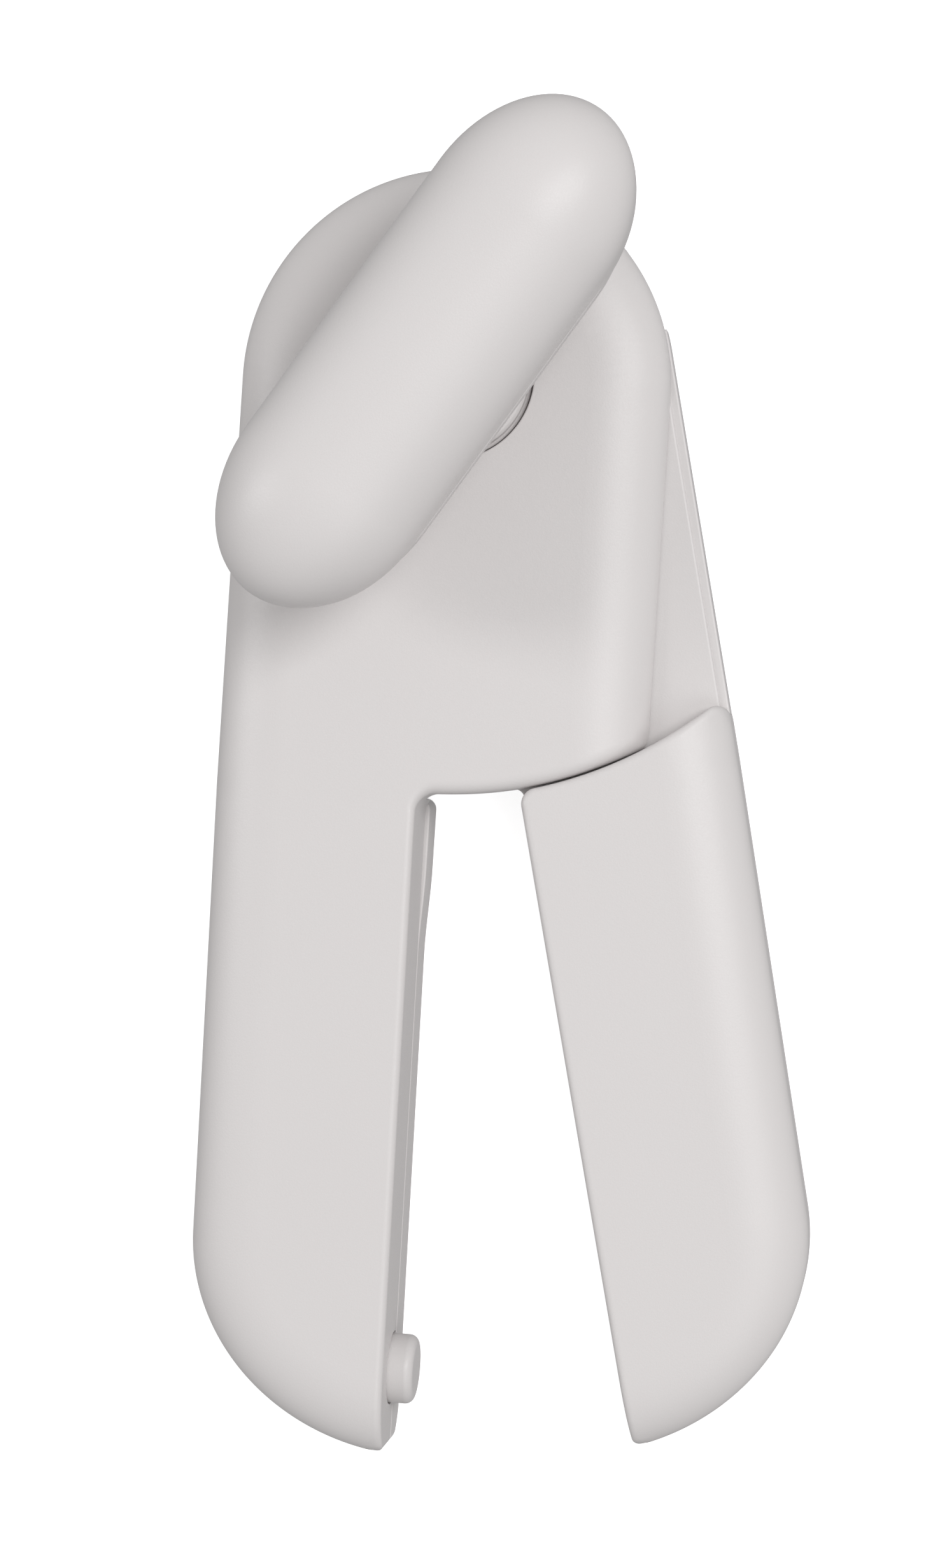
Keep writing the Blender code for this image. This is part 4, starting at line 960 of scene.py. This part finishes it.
def build_cutter():
    inner_y, outer_y = CUTTER_Y + 5.4, FOLLOWER_Y - 6.0
    outline = [(-7.0, outer_y), (7.0, outer_y), (7.0, inner_y - 3.0), (4.5, inner_y)]
    outline += [(-4.5, inner_y), (-7.0, inner_y - 3.0)]
    holes = [circle((0.0, CUTTER_Y), 2.2, 48), circle((0.0, FOLLOWER_Y), FOLLOWER_R + BORE_CLEARANCE, 48)]
    loops = [rounded(outline, 0.5, closed=True)] + holes
    finish(slab("carriage", loops, CARRIAGE_BOTTOM, CARRIAGE_TOP, 0.15), "cutter_carriage")

    profile = [(0.0, PLATE_TOP - GAP), (FOLLOWER_R, PLATE_TOP - GAP), (FOLLOWER_R, CARRIAGE_BOTTOM - 0.2)]
    profile += [(2.0, CARRIAGE_BOTTOM - 0.2), (2.0, CARRIAGE_BOTTOM - 0.9), (0.0, CARRIAGE_BOTTOM - 0.9)]
    finish(shift(turned("pin", profile, 0.2, steps=48), 0.0, FOLLOWER_Y), "follower_pin")

    profile = [(0.0, CARRIAGE_TOP), (2.0, CARRIAGE_TOP), (2.0, CARRIAGE_BOTTOM - 0.2)]
    profile += [(2.8, CARRIAGE_BOTTOM - 0.2), (2.8, 3.8), (2.0, 3.8), (2.0, 1.9), (1.4, 1.9), (1.4, 1.2)]
    profile += [(2.0, 1.2), (2.0, 0.8), (0.0, 0.8)]
    finish(shift(turned("axle", profile, 0.12, steps=64), 0.0, CUTTER_Y), "cutter_axle")
    ring = arc((0.0, 0.0), 3.6, 30.0, 330.0, 60) + arc((0.0, 0.0), 1.6, 330.0, 30.0, 40)
    finish(shift(slab("clip", [ring], 1.3, 1.8, 0.1), 0.0, CUTTER_Y), "cutter_clip")

    profile = [(4.2, 3.5), (4.6, 3.2), (CUTTER_R, 2.85), (CUTTER_R, 2.75), (4.6, 2.4), (4.2, 2.1)]
    profile += [(2.2, 2.1), (2.2, 3.5)]
    finish(shift(turned("wheel", profile, closed=True, steps=128), 0.0, CUTTER_Y), "cutter_wheel")


def build_catch():
    tip = STUD_TIP_X
    profile = [(0.0, tip), (STUD_R - 1.4, tip)]
    profile += arc((STUD_R - 1.3, tip - 1.3), 1.3, 90.0, 0.0, 8)
    collar = STUD_COLLAR_X
    profile += [(STUD_R, collar), (6.2, collar), (6.2, collar - 1.4), (1.9, collar - 1.4)]
    profile += [(1.9, collar - 5.3), (0.0, collar - 5.3)]
    stud = lay_along_x(turned("stud", profile, 0.15, steps=96))
    finish(shift(stud, 0.0, STUD_Y, STUD_Z), "catch_stud")

    turns, coil_r, wire = 4.5, 3.0, 0.35
    start, end = STUD_COLLAR_X - 9.2, STUD_COLLAR_X - 1.8
    rings = []
    count, sides = 180, 14
    for index in range(count + 1):
        angle = math.tau * turns * index / count
        along = start + wire + (end - start - 2.0 * wire) * index / count
        out = Vector((0.0, math.cos(angle), math.sin(angle)))
        pitch = (end - start) / (math.tau * turns)
        ahead = Vector((pitch, -coil_r * math.sin(angle), coil_r * math.cos(angle))).normalized()
        across = ahead.cross(out)
        centre = Vector((along, STUD_Y, STUD_Z)) + out * coil_r
        rings.append([
            centre + (out * math.cos(turn) + across * math.sin(turn)) * wire
            for turn in (math.tau * side / sides for side in range(sides))
        ])
    finish(loft("spring", rings), "stud_spring")


# ---------------------------------------------------------------- floor, light and camera

def make_floor():
    bm = bmesh.new()
    bmesh.ops.create_grid(bm, x_segments=1, y_segments=1, size=FLOOR_SIZE)
    mesh = bpy.data.meshes.new("floor")
    bm.to_mesh(mesh)
    bm.free()
    floor = bpy.data.objects.new("floor", mesh)
    bpy.context.scene.collection.objects.link(floor)
    nodes = Nodes("floor")
    nodes.set(Base_Color=(0.80, 0.80, 0.80, 1.0), Roughness=0.9)
    nodes.set(Emission_Color=(1.0, 1.0, 1.0, 1.0), Emission_Strength=0.75)
    floor.data.materials.append(nodes.material)
    floor.location.z = -FLOOR_DROP
    floor.visible_diffuse = False
    floor.visible_glossy = False


def softbox(name, centre, target, size, power):
    light = bpy.data.lights.new(name, "AREA")
    light.shape = "RECTANGLE"
    light.size, light.size_y = size
    light.energy = power
    obj = bpy.data.objects.new(name, light)
    bpy.context.scene.collection.objects.link(obj)
    obj.location = centre
    obj.rotation_euler = (Vector(target) - Vector(centre)).to_track_quat("-Z", "Y").to_euler()


def make_light():
    world = bpy.data.worlds.new("studio")
    world.use_nodes = True
    world.node_tree.nodes["Background"].inputs["Color"].default_value = (1.0, 1.0, 1.0, 1.0)
    world.node_tree.nodes["Background"].inputs["Strength"].default_value = WORLD_STRENGTH
    bpy.context.scene.world = world
    softbox("right_softbox", (0.70, 0.36, 1.20), (0.0, 0.0, 0.0), (0.50, 0.9), 11.7)
    softbox("low_softbox", (0.55, -0.45, 0.90), (0.0, 0.0, 0.0), (0.6, 0.6), 1.8)
    softbox("left_softbox", (-0.80, 0.10, 0.6), (0.0, -0.02, 0.0), (0.22, 0.5), 2.5)


def make_camera():
    """Looks down on the head from slightly to the right, turned a little about its own axis."""
    focal_length, film_width = 5349.0, 1486.0
    eye = HINGE + Vector((71.04, -54.71, 499.0)) * MM
    target = HINGE + Vector((7.13, -57.97, FRONT_Z)) * MM
    roll = math.radians(3.707)
    back = (eye - target).normalized()
    upward = Vector((-math.sin(roll), math.cos(roll), 0.0))
    right = upward.cross(back).normalized()
    upward = back.cross(right)
    data = bpy.data.cameras.new("camera")
    data.sensor_width = 36.0
    data.sensor_fit = "HORIZONTAL"
    data.lens = data.sensor_width * focal_length / film_width
    camera = bpy.data.objects.new("camera", data)
    bpy.context.scene.collection.objects.link(camera)
    camera.matrix_world = Matrix.Translation(eye) @ Matrix((right, upward, back)).transposed().to_4x4()
    bpy.context.scene.camera = camera
    bpy.context.scene.view_settings.view_transform = "Standard"


for node, obj in frame["nodes"].items():
    obj.data.materials.clear()
    obj.data.materials.append(MATERIALS[SLOTS[node]])

build_main_cover()
build_backs()
build_right_handle_front()
build_frame_plate()
build_pivot()
build_rim_guide()
build_rails()
build_screws()
build_knob()
build_drive()
build_cutter()
build_catch()
make_floor()
make_light()
make_camera()
